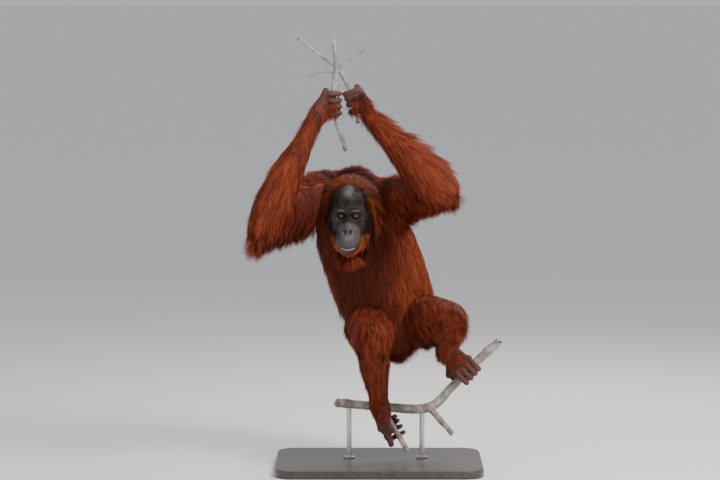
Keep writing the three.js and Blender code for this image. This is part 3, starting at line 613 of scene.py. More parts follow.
# The head, in its own frame: +X to the animal's left, -Y out of the face, the origin between the eyes' fronts
headSettings = {
    "eyeApart": 21.0,
    "eyeCentre": 10.0,
    "eyeRadius": 12.0,
    "lidRadius": 13.8,
    "mouthHeight": -87.0,
    "mouthHalf": 22.0,
    "reach": 170.0,
    "rows": 196,
    "columns": 210,
}
pitch, yaw = pose["headPitch"], pose["headYaw"]
turnX = np.array([[1, 0, 0], [0, math.cos(pitch), -math.sin(pitch)], [0, math.sin(pitch), math.cos(pitch)]])
turnZ = np.array([[math.cos(yaw), -math.sin(yaw), 0], [math.sin(yaw), math.cos(yaw), 0], [0, 0, 1]])
headTurn = turnZ @ turnX
headCore = vec(0, 35, -18)


def fromHead(p):
    return np.asarray(p, float) @ headTurn.T + pose["eyeLine"]


def toHead(p):
    return (np.asarray(p, float) - pose["eyeLine"]) @ headTurn


def merged(a, b, width):
    h = np.maximum(width - np.abs(a - b), 0) / width
    return np.minimum(a, b) - h * h * width * 0.25


def carved(a, b, width):
    return -merged(-a, b, width)


def egg(p, centre, radii):
    q = (p - np.asarray(centre, float)) / np.asarray(radii, float)
    near = np.linalg.norm(q, axis=-1)
    slope = np.linalg.norm(q / np.asarray(radii, float), axis=-1)
    return near * (near - 1) / np.maximum(slope, 1e-9)


def bar(p, a, b, radius):
    a, b = np.asarray(a, float), np.asarray(b, float)
    along = np.clip((p - a) @ (b - a) / np.dot(b - a, b - a), 0, 1)
    return np.linalg.norm(p - (a + along[..., None] * (b - a)), axis=-1) - radius


def eyeOpening(p):
    # Below zero inside the almond between the lids
    x = p[..., 0] - headSettings["eyeApart"]
    half = 4.3 * (1 - (x / 10.6) ** 2)
    return np.abs(p[..., 2] - 0.1 - 0.02 * x) - half


def mouthPlace(p):
    # Height above the line of the mouth, and how far across it, with its ends at -1 and 1
    across = p[..., 0] / headSettings["mouthHalf"]
    return p[..., 2] - headSettings["mouthHeight"] - 4.5 * across**2, across


def headShape(point, fine=True):
    p = np.stack([np.abs(point[..., 0]), point[..., 1], point[..., 2]], -1)
    d = egg(p, (0, 70, 30), (66, 78, 66))  # cranium
    d = merged(d, egg(p, (0, 48, -25), (61, 60, 60)), 30)  # face and jaw hinge
    d = merged(d, egg(p, (42, 22, -14), (22, 24, 24)), 18)  # cheekbone
    d = merged(d, bar(p, (6, 3, 17), (36, 10, 15), 8), 16)  # brow ridge
    d = merged(d, egg(p, (0, 30, -75), (46, 48, 36)), 26)  # back of the jaw
    d = merged(d, egg(p, (0, -8, -68), (36, 50, 34)), 18)  # muzzle
    d = merged(d, bar(p, (0, 6, -4), (0, -20, -42), 10), 14)  # nose bridge
    d = merged(d, bar(p, (0, -30, -46), (8, -30, -49), 6), 10)  # nose wings
    d = merged(d, egg(p, (0, -10, -96), (23, 35, 16)), 12)  # chin
    d = carved(d, egg(p, (headSettings["eyeApart"], -7, -1), (15, 14, 11)), 14)  # eye socket
    if not fine:
        return d
    x, y, z = point[..., 0], point[..., 1], point[..., 2]
    eye = np.array([headSettings["eyeApart"], headSettings["eyeCentre"], 0])
    toEye = np.linalg.norm(p - eye, axis=-1)
    front = smooth(18, 2, y)
    d = merged(d, toEye - headSettings["lidRadius"], 3.0)
    ring = np.linalg.norm((p - eye)[..., [0, 2]] * np.array([0.86, 1.0]), axis=-1)
    fold = 0.9 * bell(ring, 15.5, 1.5) - 0.8 * bell(ring, 18, 1.4) + 0.55 * bell(ring, 21, 1.8)
    d = d - fold * front * mix(0.55, 1.0, smooth(4, -6, z))  # bags and folds round the eyes
    opening = eyeOpening(p)
    d = d - 0.7 * bell(opening, 1.2, 1.1) * (toEye < 18)  # rims of the lids
    d = np.maximum(d, -np.maximum(np.maximum(opening, 11.2 - toEye), y - 6))
    # frown lines between and above the brows, and creases down the sides of the nose
    frown = np.sin(0.62 * z + 0.4 * np.sin(x * 0.11)) * bell(z, 34, 18) * smooth(48, 20, p[..., 0]) * front
    d = d + 0.28 * frown
    d = d + 0.9 * bell(p[..., 0] - 14 + 0.22 * (z + 30), 0, 1.6) * bell(z, -34, 14) * smooth(0, -14, y)
    # nostrils
    for side in (-1, 1):
        q = point - np.array([side * 8.2, -36, -40.5])
        q = np.stack([q[..., 0] + 0.55 * side * (q[..., 2]), q[..., 1], q[..., 2]], -1)
        d = carved(d, egg(q, (0, 0, 0), (4.2, 7, 5.0)), 3.4)
    # lips, the line between them and the fine folds across them
    height, across = mouthPlace(point)
    muzzle = smooth(1.35, 0.9, np.abs(across)) * smooth(6, -8, y)
    lips = 2.2 * bell(height, 5.6, 4.6) + 2.6 * bell(height, -4.6, 3.4)
    d = d - lips * muzzle + 4.2 * bell(height, 0, 1.3) * smooth(1.12, 0.86, np.abs(across)) * smooth(6, -8, y)
    pleats = np.sin(across * 17 + 0.9 * np.sin(height * 0.5))
    d = d + 0.2 * pleats * muzzle * bell(height, 8, 16)
    d = d + 0.22 * np.sin(height * 0.9 + 2 * np.sin(across * 2)) * smooth(0, -12, y) * bell(height, 22, 10)
    return d


def headGrid():
    rows, columns = headSettings["rows"], headSettings["columns"]
    even = math.pi * (np.arange(1, rows) / rows - 0.5)
    rise = even - 0.22 * np.sin(2 * even) - 0.05
    around = 2 * math.pi * np.arange(columns) / columns
    around = around - 0.62 * np.sin(around)
    rise, around = np.meshgrid(rise, around, indexing="ij")
    ways = np.stack([np.sin(around) * np.cos(rise), -np.cos(around) * np.cos(rise), np.sin(rise)], -1)
    ways = np.vstack([ways.reshape(-1, 3), [[0, 0, -1]], [[0, 0, 1]]])
    outer = np.full(len(ways), headSettings["reach"])
    for _ in range(70):  # march in until the ray meets the skin
        far = headShape(headCore + ways * outer[:, None])
        if not (far > 0.4).any():
            break
        outer = np.where(far > 0.4, outer - np.clip(0.6 * far, 0.3, 12), outer)
    inner = outer - 3
    outer = outer + 0.6
    for _ in range(9):
        middle = (inner + outer) / 2
        outside = headShape(headCore + ways * middle[:, None]) > 0
        outer, inner = np.where(outside, middle, outer), np.where(outside, inner, middle)
    points = headCore + ways * inner[:, None]
    body = points[:-2].reshape(rows - 1, columns, 3)
    return ringShell(list(body), points[-2], points[-1])


def earShell(side):
    # A cup: a rim that curls round a hollow
    angle = np.linspace(math.radians(-150), math.radians(165), 15)
    rim = []
    for i, a in enumerate(angle):
        at = vec(side * (72 + 2.5 * math.cos(a)), 66 + 9.5 * math.cos(a), 4 + 17 * math.sin(a))
        rim.append((at, 3.6 if i < 12 else 3.0))
    shells = [Limb(rim).shell(30, 12, dome=0.9)]
    shells += [ball(vec(side * 67, 68, 4), (6, 10, 16)), ball(vec(side * 66, 62, -6), (7, 6, 9))]
    return [(fromHead(points), faces) for points, faces in shells]


# One skin from all of it
skinSettings = {
    "bodySkin": {"voxel": 9.0, "rounds": 10},
    "handSkin": {"voxel": 1.9, "rounds": 3, "keep": 0.42},
    "footSkin": {"voxel": 1.9, "rounds": 3, "keep": 0.42},
    "earSkin": {"voxel": 1.6, "rounds": 3},
}
bodyShells = [limb.shell(34, 30) if name == "trunk" else limb.shell(26, 24) for name, limb in limbs.items()]
bodySkin, handSkin, footSkin, earSkin = (
    voxelJoin(name, parts, **skinSettings[name])
    for name, parts in zip(skinSettings, (bodyShells, handShells, footShells, earShell(-1) + earShell(1)))
)
headPoints, headFaces = headGrid()
headSkin = meshObject("headSkin", fromHead(headPoints), headFaces)
skinShells = [bodySkin, headSkin, earSkin, handSkin, footSkin]
body, head, ears, hands, feet = range(5)
shellPoints = [pointsOf(shell) for shell in skinShells]
shellTriangles = [trianglesOf(shell) for shell in skinShells]
starts = np.cumsum([0] + [len(p) for p in shellPoints])
skinPoints = np.vstack(shellPoints)
skinTriangles = np.vstack([t + start for t, start in zip(shellTriangles, starts)])
shellOf = np.repeat(np.arange(len(skinShells)), [len(p) for p in shellPoints])
for shell in skinShells:
    bpy.data.objects.remove(shell)
print("skin:", len(skinPoints), "points", len(skinTriangles), "triangles")


# What every point of the skin knows: its tint, and how its hair lies, hangs and how long it is
def nearestOn(limb, points, samples=60):
    # The share along the limb's line nearest to each point, and how far outside its skin the point is
    t = np.linspace(0, 1, samples)
    at, along, wideAxis, deepAxis, girth = limb.frame(t)
    nearest = np.argmin(((points[:, None] - at[None]) ** 2).sum(-1), 1)
    off = points - at[nearest]
    wide, deep = (off * wideAxis[nearest]).sum(-1), (off * deepAxis[nearest]).sum(-1)
    far = np.sqrt((wide / girth[nearest, 0]) ** 2 + (deep / girth[nearest, 1]) ** 2)
    past = np.abs((off * along[nearest]).sum(-1))
    return t[nearest], (far - 1) * girth[nearest].mean(-1) + past, along[nearest], np.arctan2(deep, wide)


# Length and droop follow the share along each limb, and grow where the skin faces the ground.
# Each is a number or a function of both.
def coatPlan(towards, down, long, droop, lift, ahead=0.0):
    return {"towards": towards, "down": down, "long": long, "droop": droop, "lift": lift, "ahead": ahead}


def trunkLong(t, hang):
    long = np.where(t < 0.56, mix(118, 140, t), mix(136, 96, (t - 0.56) / 0.44))
    return long * mix(0.42, 1, smooth(0.02, 0.24, t))


def alongLimb(start, end, under):
    return lambda t, hang: mix(start, end, t) + under * hang


def foreArmLong(atElbow, atWrist, fan, under):
    def long(t, hang):
        fanned = mix(atElbow, atWrist, t) + fan * bell(t, 0.3, 0.2) + under * hang
        return fanned * mix(1, 0.5, smooth(0.86, 1.04, t))

    return long


def foreArmDroop(atElbow, under):
    return lambda t, hang: mix(atElbow, 0.2, smooth(0, 0.7, t)) + under * hang


def shinLong(t, hang):
    return mix(66, 54, t) * mix(1, 0.6, smooth(0.8, 1.0, t))


coatPlans = {
    "trunk": coatPlan(1, 0.35, trunkLong, lambda t, hang: 0.26 + 0.05 * t, 0.5),
    "neck": coatPlan(-1, 0.5, 60, 0.6, 0.3),
    "upperArmRight": coatPlan(1, 0.2, alongLimb(92, 66, 30), alongLimb(0.45, 0.72, 0.2), 0.3),
    "upperArmLeft": coatPlan(1, 0.2, alongLimb(74, 50, 8), alongLimb(0.4, 0.55, 0.1), 0.26),
    "foreArmRight": coatPlan(-1, 0.0, foreArmLong(98, 70, 20, 24), foreArmDroop(0.75, 0.2), 0.16),
    "foreArmLeft": coatPlan(-1, 0.0, foreArmLong(70, 84, 30, 0), foreArmDroop(0.5, 0.15), 0.24),
    "thigh": coatPlan(1, 0.35, lambda t, hang: 62 + 22 * hang, 0.3, 0.36),
    "shin": coatPlan(1, 0.5, shinLong, 0.3, 0.22, ahead=1.5),
}


def worked(value, t, hang):
    return value(t, hang) if callable(value) else value


def vertexNormals(points, triangles):
    a, b, c = (points[triangles[:, i]] for i in range(3))
    face = np.cross(b - a, c - a)
    total = np.zeros_like(points)
    for i in range(3):
        np.add.at(total, triangles[:, i], face)
    return unit(total)


skinNormals = vertexNormals(skinPoints, skinTriangles)
limbNames = list(limbs)
limbFacts = [nearestOn(limbs[name], skinPoints) for name in limbNames]
away = np.stack([facts[1] for facts in limbFacts], 1)
jointBlend = 14.0
limbWeight = np.exp(-(away - away.min(1, keepdims=True)) / jointBlend)
limbWeight /= limbWeight.sum(1, keepdims=True)
nearestLimb = np.argmin(away, 1)
hang = np.maximum(0, -skinNormals[:, 2])
lie = np.zeros_like(skinPoints)
hairLong, hairDroop, hairLift = (np.zeros(len(skinPoints)) for _ in range(3))
for i, name in enumerate(limbNames):
    plan = coatPlans.get(name) or coatPlans[name.replace("Right", "").replace("Left", "")]
    t, _, along, _ = limbFacts[i]
    weight = limbWeight[:, i]
    ahead = plan["ahead"] * smooth(0.5, 0.0, t)[:, None]  # over the knee the hair runs forward, then down
    lie += weight[:, None] * (along * plan["towards"] - up * plan["down"] - acrossY * ahead)
    hairLong += weight * worked(plan["long"], t, hang)
    hairDroop += weight * worked(plan["droop"], t, hang)
    hairLift += weight * plan["lift"]

# The head's hair parts on the crown, falls down its sides and frames the face
onHead = np.isin(shellOf, (head, ears))
headPlace = toHead(skinPoints)
hx, hy, hz = headPlace.T
hairline = 84 - 0.0125 * hx * hx  # the hair starts above this height of the forehead
crown = smooth(36, 92, hz)
fromParting = np.sign(hx) * smooth(0, 34, np.abs(hx))
chinward = smooth(-70, -105, hz) * smooth(40, 0, hy)
besideMuzzle = np.hypot(hx / 34, (hz + 60) / 45)
beard = smooth(0.96, 1.14, besideMuzzle) * smooth(-30, -60, hz)
bearded = beard * smooth(44, 30, hy)
headLie = np.stack(
    [
        mix(mix(0.42 * fromParting, np.clip(hx / 40, -1, 1) * 0.8, crown), 0.9 * fromParting, bearded),
        mix(mix(0.3, 1.0, crown) - 0.55 * chinward, 0.55, bearded),
        mix(mix(-1.0, 0.1, crown), -0.75, bearded),
    ],
    1,
)
faceEdge = np.maximum(smooth(14, 50, hy), smooth(hairline - 4, hairline + 26, hz))
foreheadFuzz = smooth(22, 36, hz) * smooth(hairline + 4, hairline - 8, hz)
foreheadFuzz = foreheadFuzz * mix(0.6, 1, smooth(8, 30, np.abs(hx)))
cheekFuzz = smooth(38, 50, np.abs(hx)) * smooth(-56, -40, hz)
fuzz = np.maximum(foreheadFuzz, cheekFuzz) * smooth(36, 24, hy)
headHairy = np.maximum(np.maximum(smooth(12, 30, hy), smooth(hairline - 8, hairline + 6, hz)), beard)
headLong = mix(24, 84, faceEdge) * mix(1, 0.8, crown)
headLong = mix(headLong, 15 + 0.5 * np.clip(hy + 10, 0, 60), bearded)
headLong = mix(headLong, mix(13, 20, cheekFuzz), fuzz * (1 - np.clip(headHairy, 0, 1)))
headHairy = np.clip(np.maximum(headHairy, mix(0.5, 0.8, cheekFuzz) * fuzz), 0, 1)
lie[onHead] = (unit(headLie) @ headTurn.T)[onHead]
hairLong[onHead] = headLong[onHead]
hairDroop[onHead] = (0.3 + 0.12 * chinward)[onHead]
hairLift[onHead] = mix(0.42, 0.3, crown)[onHead]
hairy = np.ones(len(skinPoints))
hairy[onHead] = headHairy[onHead]
hairy[shellOf == ears] *= 0.25

# Hands and feet: short hair thins out from wrist and ankle to the knuckles, sooner on the side that grips
for shell, jointName, beforeName, perch, bareFrom, longest in (
    (hands, "wrist", "elbow", (stemRight, stemLeft), 112, 30),
    (feet, "ankle", "knee", (branchLower, branchMain), 104, 26),
):
    mine = shellOf == shell
    beyond, nearest = np.zeros(len(skinPoints)), np.full(len(skinPoints), 1e3)
    for side in ("Right", "Left"):
        joint, before = pose[jointName + side], pose[beforeName + side]
        far = np.linalg.norm(skinPoints - joint, axis=1)
        past = (skinPoints - joint) @ unit(joint - before) > -10
        beyond = np.where(far < nearest, far * past, beyond)
        nearest = np.minimum(nearest, far)
    spots = np.vstack([spline(line.line, np.linspace(0, 1, 160)) for line in perch])
    ids = np.flatnonzero(mine)
    towards = spots[np.argmin(((skinPoints[ids, None] - spots[None]) ** 2).sum(-1), 1)] - skinPoints[ids]
    gripSide = np.full(len(skinPoints), -1.0)
    gripSide[ids] = (unit(towards) * skinNormals[ids]).sum(-1)
    fade = smooth(bareFrom, bareFrom - 50, beyond)
    fade = fade * mix(1, smooth(0.35, -0.1, gripSide), smooth(20, 60, beyond))
    hairy[mine] = (0.9 * fade)[mine]
    hairLong[mine] = mix(8, longest, fade)[mine]
    hairLift[mine] = 0.2

# No pole of the trunk is left bare: at the top the hair lies back
backTop = 700.0
onTop = smooth(0.45, 0.95, skinNormals[:, 2]) * (skinPoints[:, 2] > backTop)
lie[~onHead] += (acrossY * onTop[:, None] * 1.4)[~onHead]
lie = unit(lie - skinNormals * dot(lie, skinNormals))

# The skin's tint, which the coat's roots share
skinTones = {
    # Under the coat: the skin's own dark colour, used also as painted shade in the gaps between tufts
    "underCoat": (0.040, 0.014, 0.009),
    # Painted highlight, on the top of the forehead and on the philtrum
    "forehead": (0.260, 0.220, 0.215),
    "face": (0.022, 0.016, 0.013),
    "cheek": (0.046, 0.034, 0.023),
    # The socket tone is painted shade
    "socket": (0.014, 0.010, 0.009),
    "browArc": (0.270, 0.205, 0.180),
    "muzzle": (0.080, 0.070, 0.071),
    "lip": (0.420, 0.310, 0.245),
    # The mouth tone is painted shade
    "mouth": (0.020, 0.010, 0.009),
    "hand": (0.120, 0.048, 0.042),
    "ear": (0.110, 0.070, 0.058),
}
tone = {name: np.array(colour) for name, colour in skinTones.items()}


def layered(base, *layers):
    # Colours laid over a base one after another, each by its own amount at every point
    for colour, amount in layers:
        base = base + (colour - base) * np.clip(amount, 0, 1)[:, None]
    return base


mirrored = np.abs(hx)
eyeWay = np.hypot((mirrored - headSettings["eyeApart"]) * 0.9, hz)
mouthHeight, mouthAcross = mouthPlace(headPlace)
mouthAcross, mouthFront = np.abs(mouthAcross), smooth(10, -4, hy)
muzzleEgg = np.hypot(mirrored / 37, (hz + 62) / 46)
philtrum = bell(mirrored, 3.5, 3.4) * bell(hz, -56, 8) + 0.8 * bell(mirrored, 14, 4) * bell(hz, -44, 8)
browLine = hz - 18 + 0.016 * (mirrored - 21) ** 2
nostril = np.hypot(mirrored - 8.2, hz + 40.5)
behindFace = np.maximum(smooth(22, 40, hy), smooth(hairline, hairline + 10, hz))
faceTint = layered(
    np.tile(tone["face"], (len(skinPoints), 1)),
    # Painted highlight on the top of the forehead
    (tone["forehead"], 0.5 * smooth(48, 72, hz) * bell(mirrored, 0, 15)),
    (tone["cheek"], smooth(34, 46, mirrored) * smooth(30, 10, hz)),
    (tone["muzzle"], smooth(1.16, 0.84, muzzleEgg) * smooth(24, 8, hy)),
    # Painted highlight down the philtrum and beside the nostrils
    (tone["forehead"], 0.4 * philtrum * smooth(0, -20, hy)),
    # Painted shade on the underside of the muzzle
    (tone["face"], 0.42 * bell(muzzleEgg, 0.86, 0.3) * smooth(-52, -78, hz)),
    # Painted shade in the eye sockets, and across the eyes and the nose bridge under the brow ridge
    (tone["socket"], smooth(25, 11, eyeWay)),
    (tone["socket"], 0.85 * smooth(15, 7, np.abs(hz + 3)) * smooth(36, 26, mirrored)),
    (tone["browArc"], 0.75 * bell(browLine, 0, 2.0) * smooth(38, 27, mirrored) * smooth(6, 15, mirrored)),
    (tone["browArc"], 0.1 * bell(eyeWay, 14, 2.5) * smooth(0, -6, hz)),
    (tone["lip"], 0.8 * bell(mouthHeight, -4.2, 1.9) * smooth(1.15, 0.8, mouthAcross) * mouthFront),
    # Painted shade in the line between the lips and in the nostrils
    (tone["mouth"], bell(mouthHeight, 0, 1.5) * smooth(1.2, 0.95, mouthAcross) * mouthFront),
    (tone["mouth"], 0.9 * smooth(7.5, 4.0, nostril) * smooth(0, -20, hy)),
    (tone["underCoat"], np.maximum(behindFace, beard)),
)
limbTint = layered(np.tile(tone["hand"], (len(skinPoints), 1)), (tone["underCoat"], hairy))
tint = np.where(np.isin(shellOf, (hands, feet))[:, None], limbTint, faceTint)
tint[shellOf == body] = tone["underCoat"]
tint[shellOf == ears] = tone["ear"]

skinFinish = Finish("faceAndHandSkin", skinTones["face"], 0.52, IOR=1.42, Specular_IOR_Level=0.3)
fineGrain = skinFinish.noise(420, 6, 0.62)
pores = skinFinish.noise(1500, 2, 0.5)
mottle = skinFinish.noise(60, 5, 0.6)
skinFinish.set(
    "Base Color",
    skinFinish.blended(
        (mottle * 1.5 - 0.25).clamped(), skinFinish.painted("skinTint"),
        skinFinish.blended(0.5, skinFinish.painted("skinTint"), (0.62, 0.5, 0.46, 1), "MULTIPLY"),
    ),
)
skinFinish.set("Roughness", 0.42 + 0.26 * fineGrain)
skinFinish.bump(fineGrain * 0.7 + pores * 0.3, 0.5, 0.0009)
apeSkin = meshObject("apeSkin", skinPoints, skinTriangles, skinFinish.material)
colourPoints(apeSkin, "skinTint", tint)
print("skin tinted")

# The coat: guides that lie and hang as the plans say, and tufts that gather towards them
coatSettings = {
    "seed": 11,
    "tufts": 196000,
    "perGuide": 20,
    "wide": 1.5,
    "gather": 0.7,
    "stray": 0.16,
    "patch": 0.003,
    "perPiece": 27000,
    "density": (1.0, 2.6, 1.6, 2.8, 1.6),  # on the body, head, ears, hands and feet
    "taper": (0.9, 1.0, 0.86, 0.56),
}
random = np.random.default_rng(coatSettings["seed"])
corners = skinPoints[skinTriangles]
area = np.linalg.norm(np.cross(corners[:, 1] - corners[:, 0], corners[:, 2] - corners[:, 0]), axis=1) / 2
triangleHairy = hairy[skinTriangles].mean(1) ** 1.3
triangleShell = shellOf[skinTriangles[:, 0]]
shellWeight = np.array(coatSettings["density"])[triangleShell]
centres = corners.mean(1)
# No hair starts where the body's skin is inside the head, or the head's inside the neck and trunk
buried = np.zeros(len(centres), bool)
onBody, onHeadFace = triangleShell == body, triangleShell == head
buried[onBody] = headShape(toHead(centres[onBody]), fine=False) < -6
buried[onHeadFace] = np.min([nearestOn(limbs[n], centres[onHeadFace])[1] for n in ("neck", "trunk")], 0) < -10
share = area * triangleHairy * shellWeight * ~buried
share /= share.sum()


def scatter(count):
    # Points spread over the hairy skin, with what the skin knows there
    face = random.choice(len(share), count, p=share)
    a, b = random.random(count), random.random(count)
    flip = a + b > 1
    a, b = np.where(flip, 1 - a, a), np.where(flip, 1 - b, b)
    weights = np.stack([1 - a - b, a, b], 1)
    ids = skinTriangles[face]

    def carried(values):
        return (values[ids] * (weights[..., None] if values.ndim > 1 else weights)).sum(1)

    return {
        "at": carried(skinPoints),
        "out": unit(carried(skinNormals)),
        "lie": unit(carried(lie)),
        "long": carried(hairLong),
        "droop": carried(hairDroop),
        "lift": carried(hairLift),
        "limb": nearestLimb[ids[:, 0]],
        "shell": shellOf[ids[:, 0]],
    }


def strands(roots, steps, spread, sizes):
    # Lines that leave the skin along their lie and bend towards the ground; short hair strays more
    count = len(roots["at"])
    spread = spread * mix(2.4, 1.0, smooth(20, 90, roots["long"]))
    turned = roots["lie"] + spread[:, None] * random.normal(size=(count, 3))
    turned = unit(turned - roots["out"] * dot(turned, roots["out"]))
    long = roots["long"] * (1 + sizes * (random.random(count) - 0.5))
    droop = np.clip(roots["droop"] + 0.5 * spread * random.normal(size=count), 0, 0.92)
    at = roots["at"] - roots["out"] * 1.5
    lines = [at]
    for i in range(steps):
        s = (i + 0.5) / steps
        bend = (droop * math.sqrt(s))[:, None]
        lifted = roots["out"] * (roots["lift"] * 1.25 * (1 - s) ** 2)[:, None]
        at = at + unit(turned * (1 - bend) + lifted - up * bend) * (long / steps)[:, None]
        lines.append(at)
    return np.stack(lines, 1)


steps = 4
guides = scatter(coatSettings["tufts"] // coatSettings["perGuide"])
guideLines = strands(guides, steps, coatSettings["stray"] * 1.3, 0.35)
print("guides:", len(guideLines))
guideTree = KDTree(len(guideLines))
for i, p in enumerate(guides["at"] + guides["out"] * 8):
    guideTree.insert(p, i)
guideTree.balance()
tufts = scatter(coatSettings["tufts"])
tuftLines = strands(tufts, steps, coatSettings["stray"] * 0.7, 0.3)
nearestGuide = np.array([guideTree.find(p)[1] for p in tufts["at"] + tufts["out"] * 8])
follow = np.linspace(0, 1, steps + 1) ** 0.8 * coatSettings["gather"]
spreadOut = 1 - 0.55 * random.random(len(tuftLines))
pull = follow[None, :, None] * spreadOut[:, None, None]
tuftLines = tuftLines * (1 - pull) + guideLines[nearestGuide] * pull
waver = np.linspace(0.6, 2.6, steps)[None, :, None] * np.clip(tufts["long"] / 90, 0.25, 1.2)[:, None, None]
tuftLines[:, 1:] += random.normal(size=(len(tuftLines), steps, 3)) * waver
print("tufts laid")

# Tufts as thin tapered strips, one mesh for each part of the coat
coatTones = {
    "deep": (0.026, 0.006, 0.004),
    "mid": (0.160, 0.026, 0.013),
    "bright": (0.350, 0.070, 0.028),
    "orange": (0.520, 0.130, 0.036),
    "fuzz": (0.018, 0.011, 0.009),
}
deepTone, midTone, brightTone, orangeTone, fuzzTone = (np.array(c) for c in coatTones.values())
coatFinish = Finish("orangutanCoat", coatTones["mid"], 0.58, IOR=1.4, Specular_IOR_Level=0.14)
coatFinish.set("Base Color", coatFinish.painted("coatTint"))
tuftTone = random.normal(size=len(tuftLines)) * 0.6
tuftTone = tuftTone + (random.normal(size=len(guideLines)) * 0.9)[nearestGuide]
tuftX, _, tuftZ = tufts["at"].T
localX, localY, localZ = toHead(tufts["at"]).T
facingUp = tufts["out"][:, 2]
headTuft = tufts["shell"] == head
onTrunk = (tufts["limb"] == limbNames.index("trunk")) * ~headTuft
onUpperArm = (tufts["limb"] == limbNames.index("upperArmRight")) * ~headTuft
# The tuft's own random tone, with painted light and shade added below
toneAndPaintedLight = 0.46 + 0.16 * tuftTone
# Painted shade darkens the breast, the belly, the trunk's right side and all but the top of the right upper
# arm, and painted light brightens the left flank
paintedBreastShade = smooth(0.0, -0.8, tufts["out"][:, 1]) * onTrunk
toneAndPaintedLight = toneAndPaintedLight - paintedBreastShade * mix(0.36, 0.04, smooth(-50, 40, tuftX))
toneAndPaintedLight = toneAndPaintedLight + 0.16 * onTrunk * smooth(10, 70, tuftX) * smooth(480, 560, tuftZ)
toneAndPaintedLight = toneAndPaintedLight - 0.14 * onTrunk * smooth(560, 440, tuftZ) - 0.1 * onTrunk * smooth(-40, -110, tuftX)
toneAndPaintedLight = toneAndPaintedLight - 0.36 * onUpperArm * smooth(0.9, 0.5, facingUp)
toneAndPaintedLight = np.clip(toneAndPaintedLight, 0.03, 1)
# Painted light on the top of the right upper arm, which turns its hair orange
paintedTopLight = onUpperArm * smooth(0.8, 0.97, facingUp)
onForehead = smooth(20, 34, localZ) * smooth(38, 26, tufts["long"])
onCheek = smooth(-60, -44, localZ) * smooth(34, 22, tufts["long"])
fuzzy = headTuft * np.maximum(onForehead, onCheek) * smooth(38, 26, localY)
cheekBeard = smooth(-32, -48, localZ) * smooth(-116, -100, localZ)
cheekBeard = cheekBeard * smooth(50, 34, np.abs(localX)) * smooth(30, 5, localY)
hood = smooth(20, 60, localZ)
headOrange = 0.06 + 0.26 * hood + 0.66 * cheekBeard + 0.2 * tuftTone
orangeness = np.clip(np.where(headTuft, headOrange, 0.03 + 0.3 * paintedTopLight), 0, 1)


def tuftColours(shares):
    # From the root to the tip: painted shade at the root, then the coat's own red, then bright sun-bleached
    # ends, which grow with the painted light
    base = layered(
        midTone,
        (brightTone, 2 * toneAndPaintedLight - 0.7),
        (deepTone, 0.62 - 1.5 * toneAndPaintedLight),
        (orangeTone, orangeness * 0.8),
        (fuzzTone, fuzzy),
    )
    # Painted shade deep in the coat, darkest at the root
    rootShade = mix(0.34, 1.0, smooth(0.0, 0.45, shares))
    tipGlow = smooth(0.55, 1.0, shares) * 0.45
    ends = base[:, None] * rootShade[None, :, None]
    return ends + (brightTone - ends) * (tipGlow[None, :] * (toneAndPaintedLight * (1 - fuzzy))[:, None])[..., None]


colours = tuftColours(np.linspace(0, 1, steps + 1))
heading = np.gradient(tuftLines, axis=1)
facing = tufts["out"][:, None] + 0.35 * random.normal(size=(len(tuftLines), 1, 3))
sideways = unit(np.cross(heading, np.broadcast_to(facing, heading.shape)))
size = np.clip(tufts["long"] / 90, 0.32, 1.15) * (0.75 + 0.5 * random.random(len(tuftLines)))
half = 0.5 * coatSettings["wide"] * size[:, None] * np.array(coatSettings["taper"])[None]
left = tuftLines[:, :steps] + sideways[:, :steps] * half[..., None]
right = tuftLines[:, :steps] - sideways[:, :steps] * half[..., None]
edges = np.stack([left, right], 2).reshape(len(left), 2 * steps, 3)
stripPoints = np.concatenate([edges, tuftLines[:, steps:]], 1)
stripColours = np.concatenate([np.repeat(colours[:, :steps], 2, axis=1), colours[:, steps:]], 1)
stripFaces = np.array([(0, 1, 3), (0, 3, 2), (2, 3, 5), (2, 5, 4), (4, 5, 7), (4, 7, 6), (6, 7, 8)])
stripShare = np.array([0, 0, 1, 1, 2, 2, 3, 3, 4]) / steps
stripAcross = np.array([-1, 1, -1, 1, -1, 1, -1, 1, 0]) / 2


def unwrapped(limb, points):
    # A place on the limb's own unrolled skin: round it, and along it
    t, _, _, angle = nearestOn(limb, points)
    return np.stack([(angle / (2 * math.pi)) % 1.0, t], 1) * 0.98 + 0.01


def unwrappedHead(points):
    local = toHead(points) - headCore
    around = np.arctan2(local[:, 0], -local[:, 1]) / (2 * math.pi) + 0.5
    rise = np.arctan2(local[:, 2], np.hypot(local[:, 0], local[:, 1])) / math.pi + 0.5
    return np.stack([around, rise], 1) * 0.98 + 0.01


def coatPiece(name, chosen, roots):
    # One part of the coat; its OFBake map keeps each tuft on a small patch at its root
    count = len(chosen)
    points = stripPoints[chosen].reshape(-1, 3)
    faces = (stripFaces[None] + len(stripShare) * np.arange(count)[:, None, None]).reshape(-1, 3)
    piece = meshObject(name, points, faces, coatFinish.material)
    colourPoints(piece, "coatTint", stripColours[chosen].reshape(-1, 3))
    patch = coatSettings["patch"]
    uv = roots[:, None] + patch * np.stack([stripAcross, stripShare - 0.5], 1)[None]
    layer = piece.data.uv_layers.new(name="OFBake")
    layer.data.foreach_set("uv", uv.reshape(-1, 2)[faces.ravel()].astype(np.float32).ravel())
    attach(piece, "root")


pieceSizes = {}


def coatPart(name, chosen, unwrap):
    # The tufts of one part, in as many lettered pieces as their number needs
    parts = math.ceil(len(chosen) / coatSettings["perPiece"])
    for i, group in enumerate(np.array_split(chosen, parts)):
        label = "coat" + name[0].upper() + name[1:] + (chr(ord("A") + i) if parts > 1 else "")
        coatPiece(label, group, unwrap(tufts["at"][group]))
        pieceSizes[label] = len(group)


